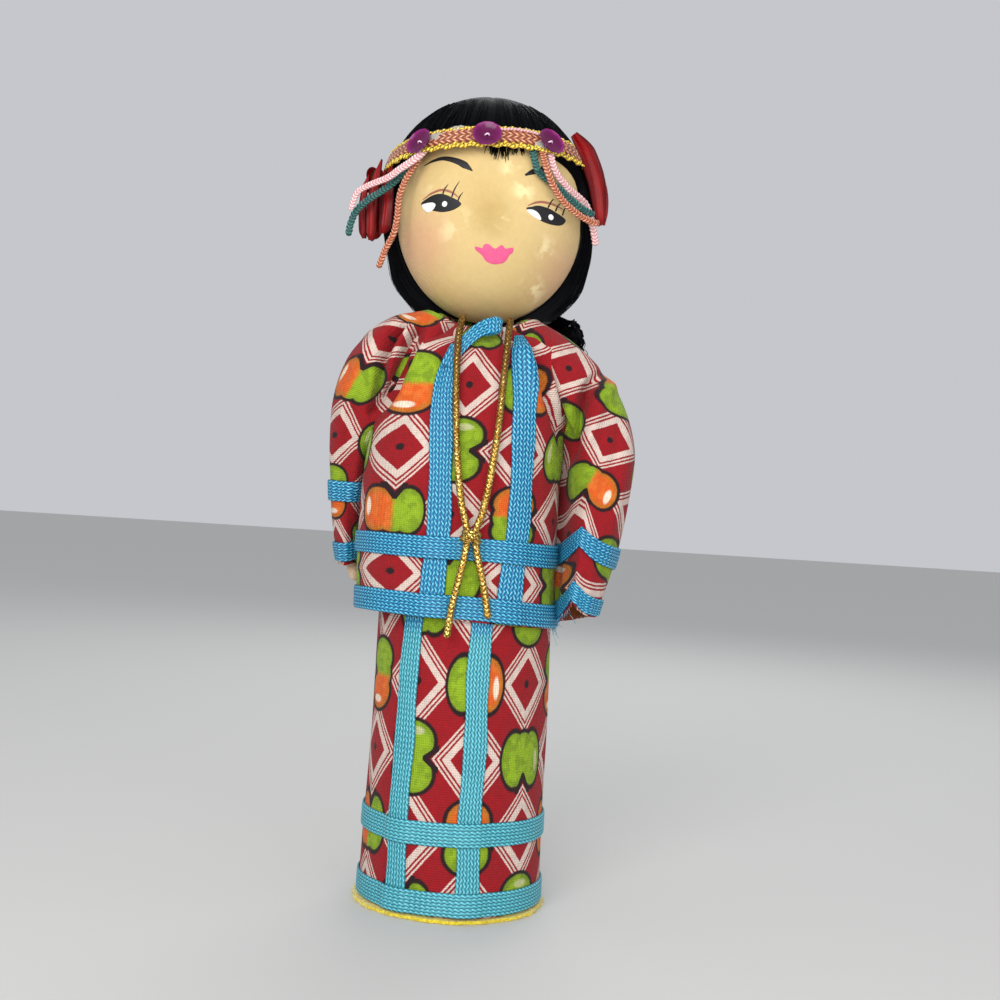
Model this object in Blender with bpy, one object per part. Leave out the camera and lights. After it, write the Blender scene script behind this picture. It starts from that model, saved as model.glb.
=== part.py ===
"""A cloth folk doll: a tube skirt on a felt base, a gathered jacket with two sleeves, braid trim,
a cloth-covered ball head with hair, a headband with sequins and cords, and two ribbon flowers.

Metres, +Z up. The origin is the centre of the felt base's underside, and the doll faces -Y.
Left and right are the doll's own: its left is at +X.
"""

import math

import bmesh
import bpy
from mathutils import Matrix, Vector

# Clearances and cloth
GAP = 0.0003                  # between pieces that touch
BRAID_THICKNESS = 0.0005
BRAID_WIDTH = 0.0056

# Base and skirt
FELT_RADIUS = 0.0236
FELT_THICKNESS = 0.0010
SKIRT_BASE_RADIUS = 0.0226
SKIRT_TOP_RADIUS = 0.0212
SKIRT_HEIGHT = 0.0750
SKIRT_BAND_HEIGHT = 0.0165    # underside of the upper band, above the skirt's foot
SKIRT_RIBBON_ANGLES = {"skirt_ribbon_right": -33.5, "skirt_ribbon_left": 11.5}
SKIRT_SIDES = 32

# Jacket body
JACKET_TUCK = 0.0070          # how far the skirt goes up inside the jacket
JACKET_LENGTH = 0.0765
JACKET_HALF_WIDTH = 0.0250
JACKET_HALF_DEPTH = 0.0230
JACKET_SHIFT = -0.0030        # the jacket sits a little to the doll's right
JACKET_SQUARENESS = 2.3
JACKET_SIDES = 32
JACKET_RINGS = 11
JACKET_UPPER_BAND = 0.0145    # underside of the upper band, above the hem
JACKET_RIBBON_WIDTH = 0.0050
JACKET_RIBBONS = {            # angle at the hem, angle at the top, share of the length at the top
    "jacket_ribbon_right": (-11.5, -22.0, 0.860),
    "jacket_ribbon_left": (33.0, 31.0, 0.915),
}
RIBBON_TAPER = 0.45           # a jacket ribbon's top is narrower by this share
RECESS_CLEARANCE = 0.0004
# share of the length, shift, half width and half depth as shares of their own sizes
JACKET_SHAPE = (
    (0.00, 0.78, 1.00, 1.00),
    (0.25, 1.10, 0.98, 1.01),
    (0.50, 0.90, 0.94, 1.00),
    (0.66, 0.50, 0.915, 0.96),
    (0.78, 0.20, 0.905, 0.86),
    (0.87, 0.00, 0.865, 0.75),
    (0.94, 0.00, 0.75, 0.64),
    (0.98, 0.00, 0.575, 0.53),
    (1.00, 0.00, 0.44, 0.46),
)
GATHERS = 8
GATHER_DEPTH = 0.045

# Sleeves: offsets from the shoulder as shares of the sleeve's length, half width, half depth
SLEEVE_LENGTH = 0.0640
SHOULDER_REACH = 0.0240       # from the jacket's middle to the point that the sleeves start from
SLEEVE_HALF_WIDTH = 0.0105
CUFF_DEPTH = 0.0110
CUFF_WALL = 0.0012
SLEEVE_SIDES = 16
SLEEVE_RINGS = 11
LEFT_SLEEVE = (
    (-0.10, 0.00, -0.22, 0.96, 0.95),
    (0.04, -0.02, -0.31, 1.00, 0.95),
    (0.100, -0.06, -0.47, 0.95, 0.90),
    (0.118, -0.11, -0.65, 0.86, 0.86),
    (0.108, -0.14, -0.83, 0.75, 0.76),
    (0.092, -0.16, -1.01, 0.60, 0.66),
    (0.078, -0.18, -1.18, 0.42, 0.52),
)
RIGHT_SLEEVE = (
    (0.12, 0.02, -0.21, 0.94, 0.95),
    (0.00, 0.05, -0.29, 0.95, 0.95),
    (-0.075, 0.10, -0.43, 0.74, 0.86),
    (-0.100, 0.14, -0.60, 0.53, 0.74),
    (-0.100, 0.16, -0.77, 0.43, 0.64),
    (-0.088, 0.16, -0.90, 0.36, 0.56),
    (-0.075, 0.155, -0.995, 0.31, 0.50),
)
SLEEVE_BANDS = {              # share of the sleeve's run where each band starts and ends
    "left_cuff_band": ("left_sleeve", 0.895, 0.975),
    "left_sleeve_band": ("left_sleeve", 0.735, 0.815),
    "right_cuff_band": ("right_sleeve", 0.900, 0.975),
    "right_sleeve_band": ("right_sleeve", 0.700, 0.790),
}
HAND_LENGTH = 0.0110
HAND_HALF_WIDTH = 0.0016
HAND_LEAN = 0.22              # how far the hand turns in towards the jacket, along its run
HAND_TAPER = 0.45

# Head and hair
HEAD_HALF_WIDTH = 0.0236
HEAD_HALF_DEPTH = 0.0234
HEAD_HALF_HEIGHT = 0.0268
HEAD_SINK = 0.0016            # how far the head sits down in the collar
HAIR_THICKNESS = 0.0023
HAIR_DROP = 0.925             # share of the hair's half height from its middle to its ends
HAIR_TAPER = 0.28
HAIR_SHIFT = 0.0010           # the crown sits this much to the doll's right
FACE_HALF_WIDTH = 0.0205
FACE_TOP = 0.0118             # hairline above the head's middle
FACE_EDGE = -0.0068           # the hair at the cheeks ends here
CURL_RADIUS = 0.0042

# Headband, sequins, cords and flowers
BAND_WIDTH = 0.0052
BAND_THICKNESS = 0.0009
BAND_RISE = 0.0100            # the band's middle above the head's middle, at the ears
BAND_TILT = 0.0024            # it rises this much more at the front
BAND_ROLL = 0.0014            # and this much more at the doll's left
BAND_SIDES = 32
SEQUIN_RADIUS = 0.0031
SEQUIN_THICKNESS = 0.0006
SEQUIN_ANGLES = {"sequin_right": -39.5, "sequin_middle": -1.0, "sequin_left": 35.5}
CORD_RADIUS = 0.00060         # the gold cord
KNOT_HALF_WIDTH = 0.0026
KNOT_HALF_DEPTH = 0.0017
KNOT_HALF_HEIGHT = 0.0016
PINK_RADIUS = 0.00085
TEAL_RADIUS = 0.00075
COPPER_RADIUS = 0.00070
PETAL = (0.0017, 0.0046, 0.0108)
FLOWER_LIFT = 0.0034
RIGHT_FLOWER_HEIGHT = -0.0010  # the flowers' middles above the head's middle
LEFT_FLOWER_HEIGHT = 0.0065

# Places that follow from the sizes above
SKIRT_FOOT = FELT_THICKNESS + GAP
SKIRT_TOP = SKIRT_FOOT + SKIRT_HEIGHT
HEM = SKIRT_TOP - JACKET_TUCK
JACKET_TOP = HEM + JACKET_LENGTH
HEAD_CENTRE = JACKET_TOP - HEAD_SINK + GAP + HEAD_HALF_HEIGHT
HAIR_HALF_WIDTH = HEAD_HALF_WIDTH + HAIR_THICKNESS
HAIR_HALF_HEIGHT = HEAD_HALF_HEIGHT + 0.85 * HAIR_THICKNESS
UNDER = GAP                                   # braid that lies on the cloth
OVER = 2 * GAP + BRAID_THICKNESS              # braid that crosses another one


def clear_scene():
    for obj in list(bpy.data.objects):
        bpy.data.objects.remove(obj, do_unlink=True)


def material(name, colour, roughness, metallic=0.0):
    """A Principled material in one colour."""
    made = bpy.data.materials.new(name)
    made.use_nodes = True
    shader = made.node_tree.nodes["Principled BSDF"]
    shader.inputs["Base Color"].default_value = (*colour, 1.0)
    shader.inputs["Roughness"].default_value = roughness
    shader.inputs["Metallic"].default_value = metallic
    return made


def add_object(name, mesh, finish):
    obj = bpy.data.objects.new(name, mesh)
    bpy.context.scene.collection.objects.link(obj)
    if finish is None:
        obj.hide_render = True
        obj.display_type = "WIRE"
    else:
        mesh.materials.append(finish)
        mesh.shade_smooth()
        mesh.set_sharp_from_angle(angle=math.radians(40))
    return obj


def loft(name, rings, finish, closed=False):
    """One solid through rings of points; its ends are capped unless it runs round on itself."""
    mesh = bpy.data.meshes.new(name)
    bm = bmesh.new()
    rows = [[bm.verts.new(point) for point in ring] for ring in rings]
    pairs = list(zip(rows, rows[1:])) + ([(rows[-1], rows[0])] if closed else [])
    for lower, upper in pairs:
        for i in range(len(lower)):
            j = (i + 1) % len(lower)
            bm.faces.new((lower[i], lower[j], upper[j], upper[i]))
    if not closed:
        bm.faces.new(rows[0])
        bm.faces.new(rows[-1])
    bmesh.ops.recalc_face_normals(bm, faces=bm.faces)
    bm.to_mesh(mesh)
    bm.free()
    return add_object(name, mesh, finish)


def ellipsoid(name, centre, radii, finish, segments=32, rings=20, turn=None):
    mesh = bpy.data.meshes.new(name)
    bm = bmesh.new()
    place = Matrix.Translation(centre) @ (turn or Matrix.Identity(4)) @ Matrix.Diagonal((*radii, 1.0))
    bmesh.ops.create_uvsphere(bm, u_segments=segments, v_segments=rings, radius=1.0, matrix=place)
    bm.to_mesh(mesh)
    bm.free()
    return add_object(name, mesh, finish)


def cut(obj, cutter, operation="DIFFERENCE"):
    step = obj.modifiers.new(cutter.name, "BOOLEAN")
    step.operation = operation
    step.object = cutter
    step.solver = "EXACT"


def tube(name, points, radius, finish, sides=2):
    """A round cord through points, as a polyline with filled caps."""
    curve = bpy.data.curves.new(name, "CURVE")
    curve.dimensions = "3D"
    curve.bevel_depth = radius
    curve.bevel_resolution = sides
    curve.use_fill_caps = True
    spline = curve.splines.new("POLY")
    spline.points.add(len(points) - 1)
    for slot, point in zip(spline.points, points):
        slot.co = (*point, 1.0)
    curve.materials.append(finish)
    obj = bpy.data.objects.new(name, curve)
    bpy.context.scene.collection.objects.link(obj)
    return obj


def smooth_path(points, count):
    """A Catmull-Rom curve through the points, read at count even steps of its parameter."""
    ends = [points[0] * 2 - points[1], *points, points[-1] * 2 - points[-2]]
    found = []
    for step in range(count):
        t = step / (count - 1) * (len(points) - 1)
        k = min(int(t), len(points) - 2)
        t -= k
        a, b, c, d = ends[k:k + 4]
        found.append(0.5 * (2 * b + (c - a) * t + (2 * a - 5 * b + 4 * c - d) * t ** 2
                            + (3 * b - a - 3 * c + d) * t ** 3))
    return found


def along_table(table, share):
    """The row of a table at a share between its first column's values, smoothly interpolated."""
    k = max(i for i in range(len(table) - 1) if i == 0 or table[i][0] <= share)
    low, high = table[k], table[k + 1]
    before, after = table[max(k - 1, 0)], table[min(k + 2, len(table) - 1)]
    span = high[0] - low[0]
    t = (share - low[0]) / span
    row = []
    for c in range(1, len(low)):
        start = (high[c] - before[c]) / (high[0] - before[0]) * span
        end = (after[c] - low[c]) / (after[0] - low[0]) * span
        row.append((2 * t ** 3 - 3 * t ** 2 + 1) * low[c] + (t ** 3 - 2 * t ** 2 + t) * start
                   + (3 * t ** 2 - 2 * t ** 3) * high[c] + (t ** 3 - t ** 2) * end)
    return row


def rounded(angle, half_width, half_depth, squareness):
    """A superellipse's point; angle 0 faces the front, and 90 degrees is the doll's left."""
    s, c = math.sin(angle), math.cos(angle)
    reach = (abs(s) ** squareness + abs(c) ** squareness) ** (-1 / squareness)
    return half_width * reach * s, -half_depth * reach * c


def jacket_point(angle, height):
    """The jacket's surface: gathers deepen towards the collar."""
    share = (height - HEM) / JACKET_LENGTH
    shift, wide, deep = along_table(JACKET_SHAPE, share)
    gather = GATHER_DEPTH * max(0.0, (share - 0.62) / 0.38) * math.cos(GATHERS * angle + 0.7)
    x, y = rounded(angle, JACKET_HALF_WIDTH * wide * (1 + gather),
                   JACKET_HALF_DEPTH * deep * (1 + gather), JACKET_SQUARENESS)
    return Vector((JACKET_SHIFT * shift + x, y, height))


def skirt_point(angle, height):
    share = (height - SKIRT_FOOT) / SKIRT_HEIGHT
    radius = SKIRT_BASE_RADIUS + (SKIRT_TOP_RADIUS - SKIRT_BASE_RADIUS) * share
    return Vector((radius * math.sin(angle), -radius * math.cos(angle), height))


def lifted(surface, a, b, lift):
    """A surface's point, moved out along its normal."""
    step = 1e-4
    across = surface(a + step, b) - surface(a - step, b)
    along = surface(a, b + step) - surface(a, b - step)
    return surface(a, b) + across.cross(along).normalized() * lift


def turns(count):
    return [2 * math.pi * i / count for i in range(count)]


def hoop(name, surface, low, high, lift, sides, finish):
    """Braid that runs right round a surface, from one height or share to another."""
    rings = [
        [lifted(surface, a, low, lift), lifted(surface, a, high, lift),
         lifted(surface, a, high, lift + BRAID_THICKNESS), lifted(surface, a, low, lift + BRAID_THICKNESS)]
        for a in turns(sides)
    ]
    return loft(name, rings, finish, closed=True)


def upright(name, surface, run, width, radius, height_range, lift, steps, taper, finish):
    """Braid that runs up a surface, from one angle to another, and narrows over its last fifth."""
    low, high = height_range
    rings = []
    for i in range(steps + 1):
        share = i / steps
        height = low + (high - low) * share
        angle = math.radians(run[0] + (run[1] - run[0]) * share)
        half = width / 2 / radius * (1 - taper * max(0.0, share - 0.8) / 0.2)
        angles = [angle + half * k for k in (-1.0, -1 / 3, 1 / 3, 1.0)]
        inner = [lifted(surface, a, height, lift) for a in angles]
        outer = [lifted(surface, a, height, lift + BRAID_THICKNESS) for a in reversed(angles)]
        rings.append(inner + outer)
    return loft(name, rings, finish)


def shoulder(side):
    return Vector((JACKET_SHIFT * 0.4 + side * SHOULDER_REACH, 0.0, JACKET_TOP))


def sleeve_surface(table, side):
    """The sleeve as a function of an angle and a share of its run, and its middle line."""
    middle = smooth_path([shoulder(side) + Vector(row[:3]) * SLEEVE_LENGTH for row in table], 61)
    sizes = [(i / (len(table) - 1), *row[3:]) for i, row in enumerate(table)]

    def centre(share):
        t = min(max(share, 0.0), 1.0) * (len(middle) - 1)
        k = min(int(t), len(middle) - 2)
        return middle[k].lerp(middle[k + 1], t - k)

    def surface(angle, share):
        wide, deep = along_table(sizes, min(max(share, 0.0), 1.0))
        run = (centre(share + 0.02) - centre(share - 0.02)).normalized()
        out = Vector((0.0, 1.0, 0.0)).cross(run).normalized()
        front = out.cross(run).normalized()
        x, y = rounded(angle, SLEEVE_HALF_WIDTH * wide, SLEEVE_HALF_WIDTH * deep, 2.0)
        return centre(share) - out * x + front * y

    return surface


def make_base_and_skirt(cotton, braid, felt):
    rim = [(FELT_RADIUS * math.sin(a), -FELT_RADIUS * math.cos(a)) for a in turns(SKIRT_SIDES)]
    loft("felt_base", [[Vector((x, y, z)) for x, y in rim] for z in (0.0, FELT_THICKNESS)], felt)
    loft("skirt", [[skirt_point(a, z) for a in turns(SKIRT_SIDES)] for z in (SKIRT_FOOT, SKIRT_TOP)], cotton)
    low = SKIRT_FOOT + GAP
    hoop("skirt_hem_band", skirt_point, low, low + BRAID_WIDTH, OVER, SKIRT_SIDES, braid)
    low = SKIRT_FOOT + SKIRT_BAND_HEIGHT
    hoop("skirt_upper_band", skirt_point, low, low + BRAID_WIDTH, OVER, SKIRT_SIDES, braid)
    for name, degrees in SKIRT_RIBBON_ANGLES.items():
        upright(name, skirt_point, (degrees, degrees), BRAID_WIDTH, SKIRT_BASE_RADIUS,
                (SKIRT_FOOT + GAP, HEM - GAP), UNDER, 6, 0.0, braid)


def jacket_clearance(name, low_lift, high_lift):
    """The jacket's shape, swollen more below the armpits, where its bands run."""
    rings = []
    for i in range(JACKET_RINGS + 1):
        height = HEM + JACKET_LENGTH * i / JACKET_RINGS
        lift = low_lift if i < 0.5 * JACKET_RINGS else high_lift
        rings.append([lifted(jacket_point, a, min(max(height, HEM + 1e-3), JACKET_TOP - 1e-3), lift)
                      for a in turns(JACKET_SIDES)])
    for point in rings[-1]:
        point.z = JACKET_TOP + high_lift
    for point in rings[0]:
        point.z = HEM - low_lift
    return loft(name, rings, None)


def make_jacket(cotton, braid, head_room):
    heights = [HEM + JACKET_LENGTH * i / JACKET_RINGS for i in range(JACKET_RINGS + 1)]
    body = loft("jacket_body", [[jacket_point(a, z) for a in turns(JACKET_SIDES)] for z in heights], cotton)
    room = skirt_point(0.0, HEM).length_squared - HEM ** 2
    room = math.sqrt(room) + RECESS_CLEARANCE
    recess = [[Vector((room * math.sin(a), -room * math.cos(a), z)) for a in turns(SKIRT_SIDES)]
              for z in (HEM - JACKET_TUCK, SKIRT_TOP + RECESS_CLEARANCE)]
    cut(body, loft("skirt_recess", recess, None))
    cut(body, head_room)
    low = HEM + GAP
    hoop("jacket_hem_band", jacket_point, low, low + BRAID_WIDTH, OVER, JACKET_SIDES, braid)
    low = HEM + JACKET_UPPER_BAND
    hoop("jacket_upper_band", jacket_point, low, low + BRAID_WIDTH, OVER, JACKET_SIDES, braid)
    for name, (start, end, top) in JACKET_RIBBONS.items():
        upright(name, jacket_point, (start, end), JACKET_RIBBON_WIDTH, JACKET_HALF_WIDTH,
                (HEM + GAP, HEM + top * JACKET_LENGTH), UNDER, 13, RIBBON_TAPER, braid)


def make_sleeve(name, table, side, cotton, jacket_room):
    surface = sleeve_surface(table, side)
    shares = [i / SLEEVE_RINGS for i in range(SLEEVE_RINGS + 1)]
    sleeve = loft(name, [[surface(a, s) for a in turns(SLEEVE_SIDES)] for s in shares], cotton)
    cut(sleeve, jacket_room)
    depth = CUFF_DEPTH / SLEEVE_LENGTH
    mouth = [[lifted(surface, a, s, -CUFF_WALL) for a in turns(SLEEVE_SIDES)]
             for s in (1 - depth, 1 - depth / 2, 0.99)]
    run = surface(0.0, 1.0) - surface(0.0, 0.97)
    mouth.append([point + run for point in mouth[-1]])
    cut(sleeve, loft(name + "_mouth", mouth, None))
    return surface


def make_sleeves(cotton, braid, skin):
    jacket_room = jacket_clearance("jacket_room", OVER + BRAID_THICKNESS + GAP, GAP)
    surfaces = {
        "left_sleeve": make_sleeve("left_sleeve", LEFT_SLEEVE, 1, cotton, jacket_room),
        "right_sleeve": make_sleeve("right_sleeve", RIGHT_SLEEVE, -1, cotton, jacket_room),
    }
    for name, (sleeve, low, high) in SLEEVE_BANDS.items():
        band = hoop(name, surfaces[sleeve], low, high, UNDER, SLEEVE_SIDES, braid)
        cut(band, jacket_room)
    cuff = surfaces["right_sleeve"]
    top = (cuff(0.0, 0.93) + cuff(math.pi, 0.93)) / 2
    run = (cuff(0.0, 1.0) - cuff(0.0, 0.9)).normalized()
    tip = top + (run + Vector((HAND_LEAN, 0.0, 0.0))).normalized() * HAND_LENGTH
    rings = []
    for share in (0.0, 0.4, 0.75, 1.0):
        size = HAND_HALF_WIDTH * (1 - HAND_TAPER * share ** 3)
        middle = top.lerp(tip, share)
        rings.append([middle + Vector((size * 0.8 * math.sin(a), -size * 1.5 * math.cos(a), 0.0))
                      for a in turns(12)])
    cut(loft("right_hand", rings, skin), jacket_room)
    return jacket_room


def hair_outline(share):
    """The hair's half width at a share of its half height above or below its middle."""
    if share > 0:
        return math.sqrt(max(0.0, 1 - share ** 2))
    return 1 - HAIR_TAPER * abs(share) ** 3.2


def hair_point(angle, height, lift=0.0):
    """A point on the hair, or lift above it; the crown leans to the doll's right."""
    share = (height - HEAD_CENTRE) / HAIR_HALF_HEIGHT
    lean = HAIR_SHIFT * min(max((share + 0.5) / 0.8, 0.0), 1.0)
    reach = HAIR_HALF_WIDTH * hair_outline(share) + lift
    return Vector((reach * math.sin(angle) - lean, -reach * math.cos(angle), height))


def make_head(skin, black, jacket_room):
    centre = Vector((0.0, 0.0, HEAD_CENTRE))
    ellipsoid("head", centre, (HEAD_HALF_WIDTH, HEAD_HALF_DEPTH, HEAD_HALF_HEIGHT), skin, 24, 14)
    hair = hair_form("hair", 0.0, -HAIR_DROP, black)
    cut(hair, bpy.data.objects["head_room"])
    front, back = -2 * HAIR_HALF_WIDTH, FACE_EDGE
    arch = []
    for a in [math.pi * k / 12 for k in range(13)]:
        arch.append((FACE_HALF_WIDTH * math.cos(a) * 1.08, FACE_TOP * math.sin(a) ** 0.6))
    arch += [(-FACE_HALF_WIDTH * 1.1, -2 * HEAD_HALF_HEIGHT), (FACE_HALF_WIDTH * 1.1, -2 * HEAD_HALF_HEIGHT)]
    opening = [[Vector((x, y, HEAD_CENTRE + z)) for x, z in arch] for y in (front, back)]
    cut(hair, loft("face_opening", opening, None))
    cut(hair, jacket_room)
    make_curls(black, jacket_room)


def make_curls(black, jacket_room):
    """The tail of curls tied at the nape and swung round behind the doll's left shoulder."""
    path = smooth_path([
        Vector((0.0060, HAIR_HALF_WIDTH * 0.74, HEAD_CENTRE - 0.0215)),
        Vector((0.0160, HAIR_HALF_WIDTH * 0.84, HEAD_CENTRE - 0.0245)),
        Vector((0.0232, HAIR_HALF_WIDTH * 0.62, HEAD_CENTRE - 0.0265)),
        Vector((0.0258, HAIR_HALF_WIDTH * 0.46, HEAD_CENTRE - 0.0335)),
    ], 10)
    rings = []
    for i, point in enumerate(path):
        share = i / (len(path) - 1)
        size = CURL_RADIUS * (0.75 + 0.25 * math.cos(6.5 * share) ** 2) * (1 - 0.75 * share ** 6)
        rings.append([point + Vector((size * math.sin(a), 0.85 * size * math.cos(a), size * 0.5 * math.sin(a)))
                      for a in turns(10)])
    curls = loft("curls", rings, black)
    cut(curls, jacket_room)
    cut(curls, bpy.data.objects["hair_outside"])


def band_height(angle):
    return HEAD_CENTRE + BAND_RISE + BAND_TILT * math.cos(angle) + BAND_ROLL * math.sin(angle)


def band_point(angle, lift, rise=0.0):
    """A point round the headband, above the hair by lift and from its middle by rise."""
    return hair_point(angle, band_height(angle) + rise, lift)


def make_headband(trim, purple):
    half = BAND_WIDTH / 2
    inner, outer = 2 * GAP, 2 * GAP + BAND_THICKNESS
    rings = [[band_point(a, inner, -half), band_point(a, inner, half),
              band_point(a, outer, half), band_point(a, outer, -half)] for a in turns(BAND_SIDES)]
    loft("headband", rings, trim, closed=True)
    lift = 4 * GAP + BAND_THICKNESS
    for name, degrees in SEQUIN_ANGLES.items():
        angle = math.radians(degrees)
        middle = band_point(angle, lift)
        across = Vector((math.cos(angle), math.sin(angle), 0.0))
        up = (band_point(angle, lift, half) - band_point(angle, lift, -half)).normalized()
        out = across.cross(up)
        rings = [[middle + (across * math.cos(a) + up * math.sin(a)) * SEQUIN_RADIUS + out * step
                  for a in turns(16)] for step in (0.0, SEQUIN_THICKNESS)]
        loft(name, rings, purple)


# Each cord's radius, and its route from under the headband as width, depth and height from the
# head's middle
HEAD_CORDS = {
    "pink_cord_right": (PINK_RADIUS, (
        (-0.0180, -0.0211, 0.0072), (-0.0216, -0.0199, 0.0044), (-0.0245, -0.0182, 0.0026),
        (-0.0291, -0.0160, 0.0010), (-0.0319, -0.0147, -0.0007), (-0.0333, -0.0142, -0.0048))),
    "teal_cord_right": (TEAL_RADIUS, (
        (-0.0220, -0.0166, 0.0032), (-0.0248, -0.0156, 0.0008), (-0.0290, -0.0142, -0.0019),
        (-0.0318, -0.0128, -0.0043), (-0.0332, -0.0119, -0.0071), (-0.0338, -0.0114, -0.0105))),
    "copper_cord_right": (COPPER_RADIUS, (
        (-0.0190, -0.0186, 0.0040), (-0.0203, -0.0189, 0.0018), (-0.0214, -0.0185, -0.0018),
        (-0.0217, -0.0175, -0.0061), (-0.0224, -0.0165, -0.0101), (-0.0242, -0.0150, -0.0136),
        (-0.0258, -0.0140, -0.0182))),
    "teal_cord_left": (TEAL_RADIUS, (
        (0.0101, -0.0230, 0.0072), (0.0106, -0.0224, 0.0060), (0.0118, -0.0214, 0.0048),
        (0.0156, -0.0195, 0.0026), (0.0188, -0.0175, 0.0005), (0.0215, -0.0160, -0.0011),
        (0.0251, -0.0140, -0.0024))),
    "copper_cord_left": (COPPER_RADIUS, (
        (0.0122, -0.0238, 0.0072), (0.0130, -0.0238, 0.0054), (0.0145, -0.0228, 0.0023),
        (0.0170, -0.0210, -0.0007), (0.0204, -0.0188, -0.0030), (0.0238, -0.0166, -0.0043),
        (0.0263, -0.0150, -0.0045))),
    "pink_cord_left": (PINK_RADIUS, (
        (0.0142, -0.0212, 0.0070), (0.0151, -0.0204, 0.0058), (0.0182, -0.0180, 0.0029),
        (0.0214, -0.0150, 0.0012), (0.0233, -0.0124, -0.0002), (0.0250, -0.0102, -0.0041),
        (0.0262, -0.0090, -0.0087))),
}


def make_head_cords(finishes):
    for name, (radius, points) in HEAD_CORDS.items():
        line = smooth_path([Vector((x, y, HEAD_CENTRE + z)) for x, y, z in points], 11)
        tube(name, line, radius, finishes[name.split("_")[0]])


def make_flower(name, degrees, height, lean, finish):
    """A bunch of ribbon loops at the ear, as overlapping petals joined into one solid."""
    angle = math.radians(degrees)
    root = hair_point(angle, HEAD_CENTRE + height, FLOWER_LIFT)
    out = Vector((math.sin(angle), -math.cos(angle), 0.0))
    base = None
    for k, (slide, tilt, size) in enumerate(((-0.0018, -6.0, 1.0), (0.0002, 2.0, 0.96), (0.0022, 10.0, 0.86))):
        turn = (Matrix.Rotation(angle - math.pi / 2, 4, "Z")
                @ Matrix.Rotation(math.radians(tilt + lean), 4, "Y"))
        centre = root + out * slide - Vector((0.0, 0.0, 0.0008 * k))
        petal = ellipsoid(f"{name}_petal_{k}" if k else name, centre, [r * size for r in PETAL],
                          finish if k == 0 else None, 8, 7, turn)
        if base is None:
            base = petal
        else:
            cut(base, petal, "UNION")
    cut(base, bpy.data.objects["headband_room"])


def hair_form(name, lift, lowest, finish):
    """The hair's outside, swollen by lift, from its lowest share up to the crown."""
    rings = []
    for share in (lowest, -0.7, -0.4, 0.0, 0.3, 0.52, 0.7, 0.85, 0.95, 0.995):
        height = HEAD_CENTRE + HAIR_HALF_HEIGHT * share
        rings.append([hair_point(a, height, lift) for a in turns(22)])
    return loft(name, rings, finish)


def front_of_jacket(x, z, lift):
    """A point in front of the jacket's chest, at a place across and up."""
    share = min(max((z - HEM) / JACKET_LENGTH, 0.0), 1.0)
    shift, wide, deep = along_table(JACKET_SHAPE, share)
    across = min(abs(x - JACKET_SHIFT * shift) / (JACKET_HALF_WIDTH * wide), 0.999)
    y = -JACKET_HALF_DEPTH * deep * (1 - across ** JACKET_SQUARENESS) ** (1 / JACKET_SQUARENESS)
    return Vector((x, y - lift, z))


# The gold cord's two halves: places across, heights as shares of the jacket's length, and lifts
GOLD_CORD = {
    "gold_cord_right": ((-0.0046, 0.961, 0.0034), (-0.0053, 0.902, 0.0036), (-0.0053, 0.810, 0.0030),
                        (-0.0049, 0.693, 0.0022), (-0.0039, 0.536, 0.0024), (-0.0022, 0.386, 0.0027),
                        (-0.0004, 0.294, 0.0030), (-0.0006, 0.222, 0.0030), (-0.0018, 0.137, 0.0027),
                        (-0.0029, 0.059, 0.0027), (-0.0036, -0.033, 0.0027)),
    "gold_cord_left": ((0.0066, 0.961, 0.0024), (0.0064, 0.915, 0.0026), (0.0060, 0.810, 0.0024),
                       (0.0054, 0.627, 0.0022), (0.0044, 0.484, 0.0024), (0.0030, 0.359, 0.0027),
                       (0.0016, 0.294, 0.0030), (0.0022, 0.229, 0.0030), (0.0038, 0.150, 0.0027),
                       (0.0048, 0.092, 0.0027), (0.0057, 0.033, 0.0027)),
}


def make_gold_cord(gold):
    for name, points in GOLD_CORD.items():
        line = smooth_path([front_of_jacket(x, HEM + JACKET_LENGTH * share, lift)
                            for x, share, lift in points], 24)
        tube(name, line, CORD_RADIUS, gold)
    middle = front_of_jacket(0.0006, HEM + 0.277 * JACKET_LENGTH, 0.0030)
    inner = (CORD_RADIUS * 2 + 0.0006, CORD_RADIUS + GAP)
    rings = []
    for a in turns(16):
        way = Vector((math.sin(a), -math.cos(a), 0.0))
        near = Vector((way.x * (inner[0] + 0.0002), way.y * inner[1], 0.0))
        far = Vector((way.x * KNOT_HALF_WIDTH, way.y * KNOT_HALF_DEPTH, 0.0))
        rise = Vector((0.0, 0.0, KNOT_HALF_HEIGHT))
        rings.append([middle + near - rise * 0.7, middle + far - rise * 0.6, middle + far + rise * 0.6,
                      middle + near + rise * 0.7])
    loft("gold_cord_knot", rings, gold, closed=True)


def make_neck_ribbon(braid, jacket_room):
    """The braid's knot under the chin, with one tail that runs down to the doll's right."""
    knot = front_of_jacket(0.0017, JACKET_TOP - 0.0043, 0.0016)
    body = ellipsoid("neck_ribbon", knot, (0.0030, 0.0014, 0.0018), braid, 12, 8)
    places = ((0.0010, 0.0047, 0.0012), (-0.0018, 0.0061, 0.0013),
              (-0.0038, 0.0085, 0.0017), (-0.0050, 0.0111, 0.0018))
    line = smooth_path([front_of_jacket(x, JACKET_TOP - drop, lift) for x, drop, lift in places], 7)
    rings = []
    for i, point in enumerate(line):
        run = (line[min(i + 1, 6)] - line[max(i - 1, 0)]).normalized()
        side = run.cross(Vector((0.0, -1.0, 0.0))).normalized() * BRAID_WIDTH * 0.32
        out = side.cross(run).normalized() * BRAID_THICKNESS / 2
        rings.append([point - side - out, point + side - out, point + side + out, point - side + out])
    cut(body, loft("neck_ribbon_tail", rings, None), "UNION")
    cut(body, jacket_room)


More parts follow.
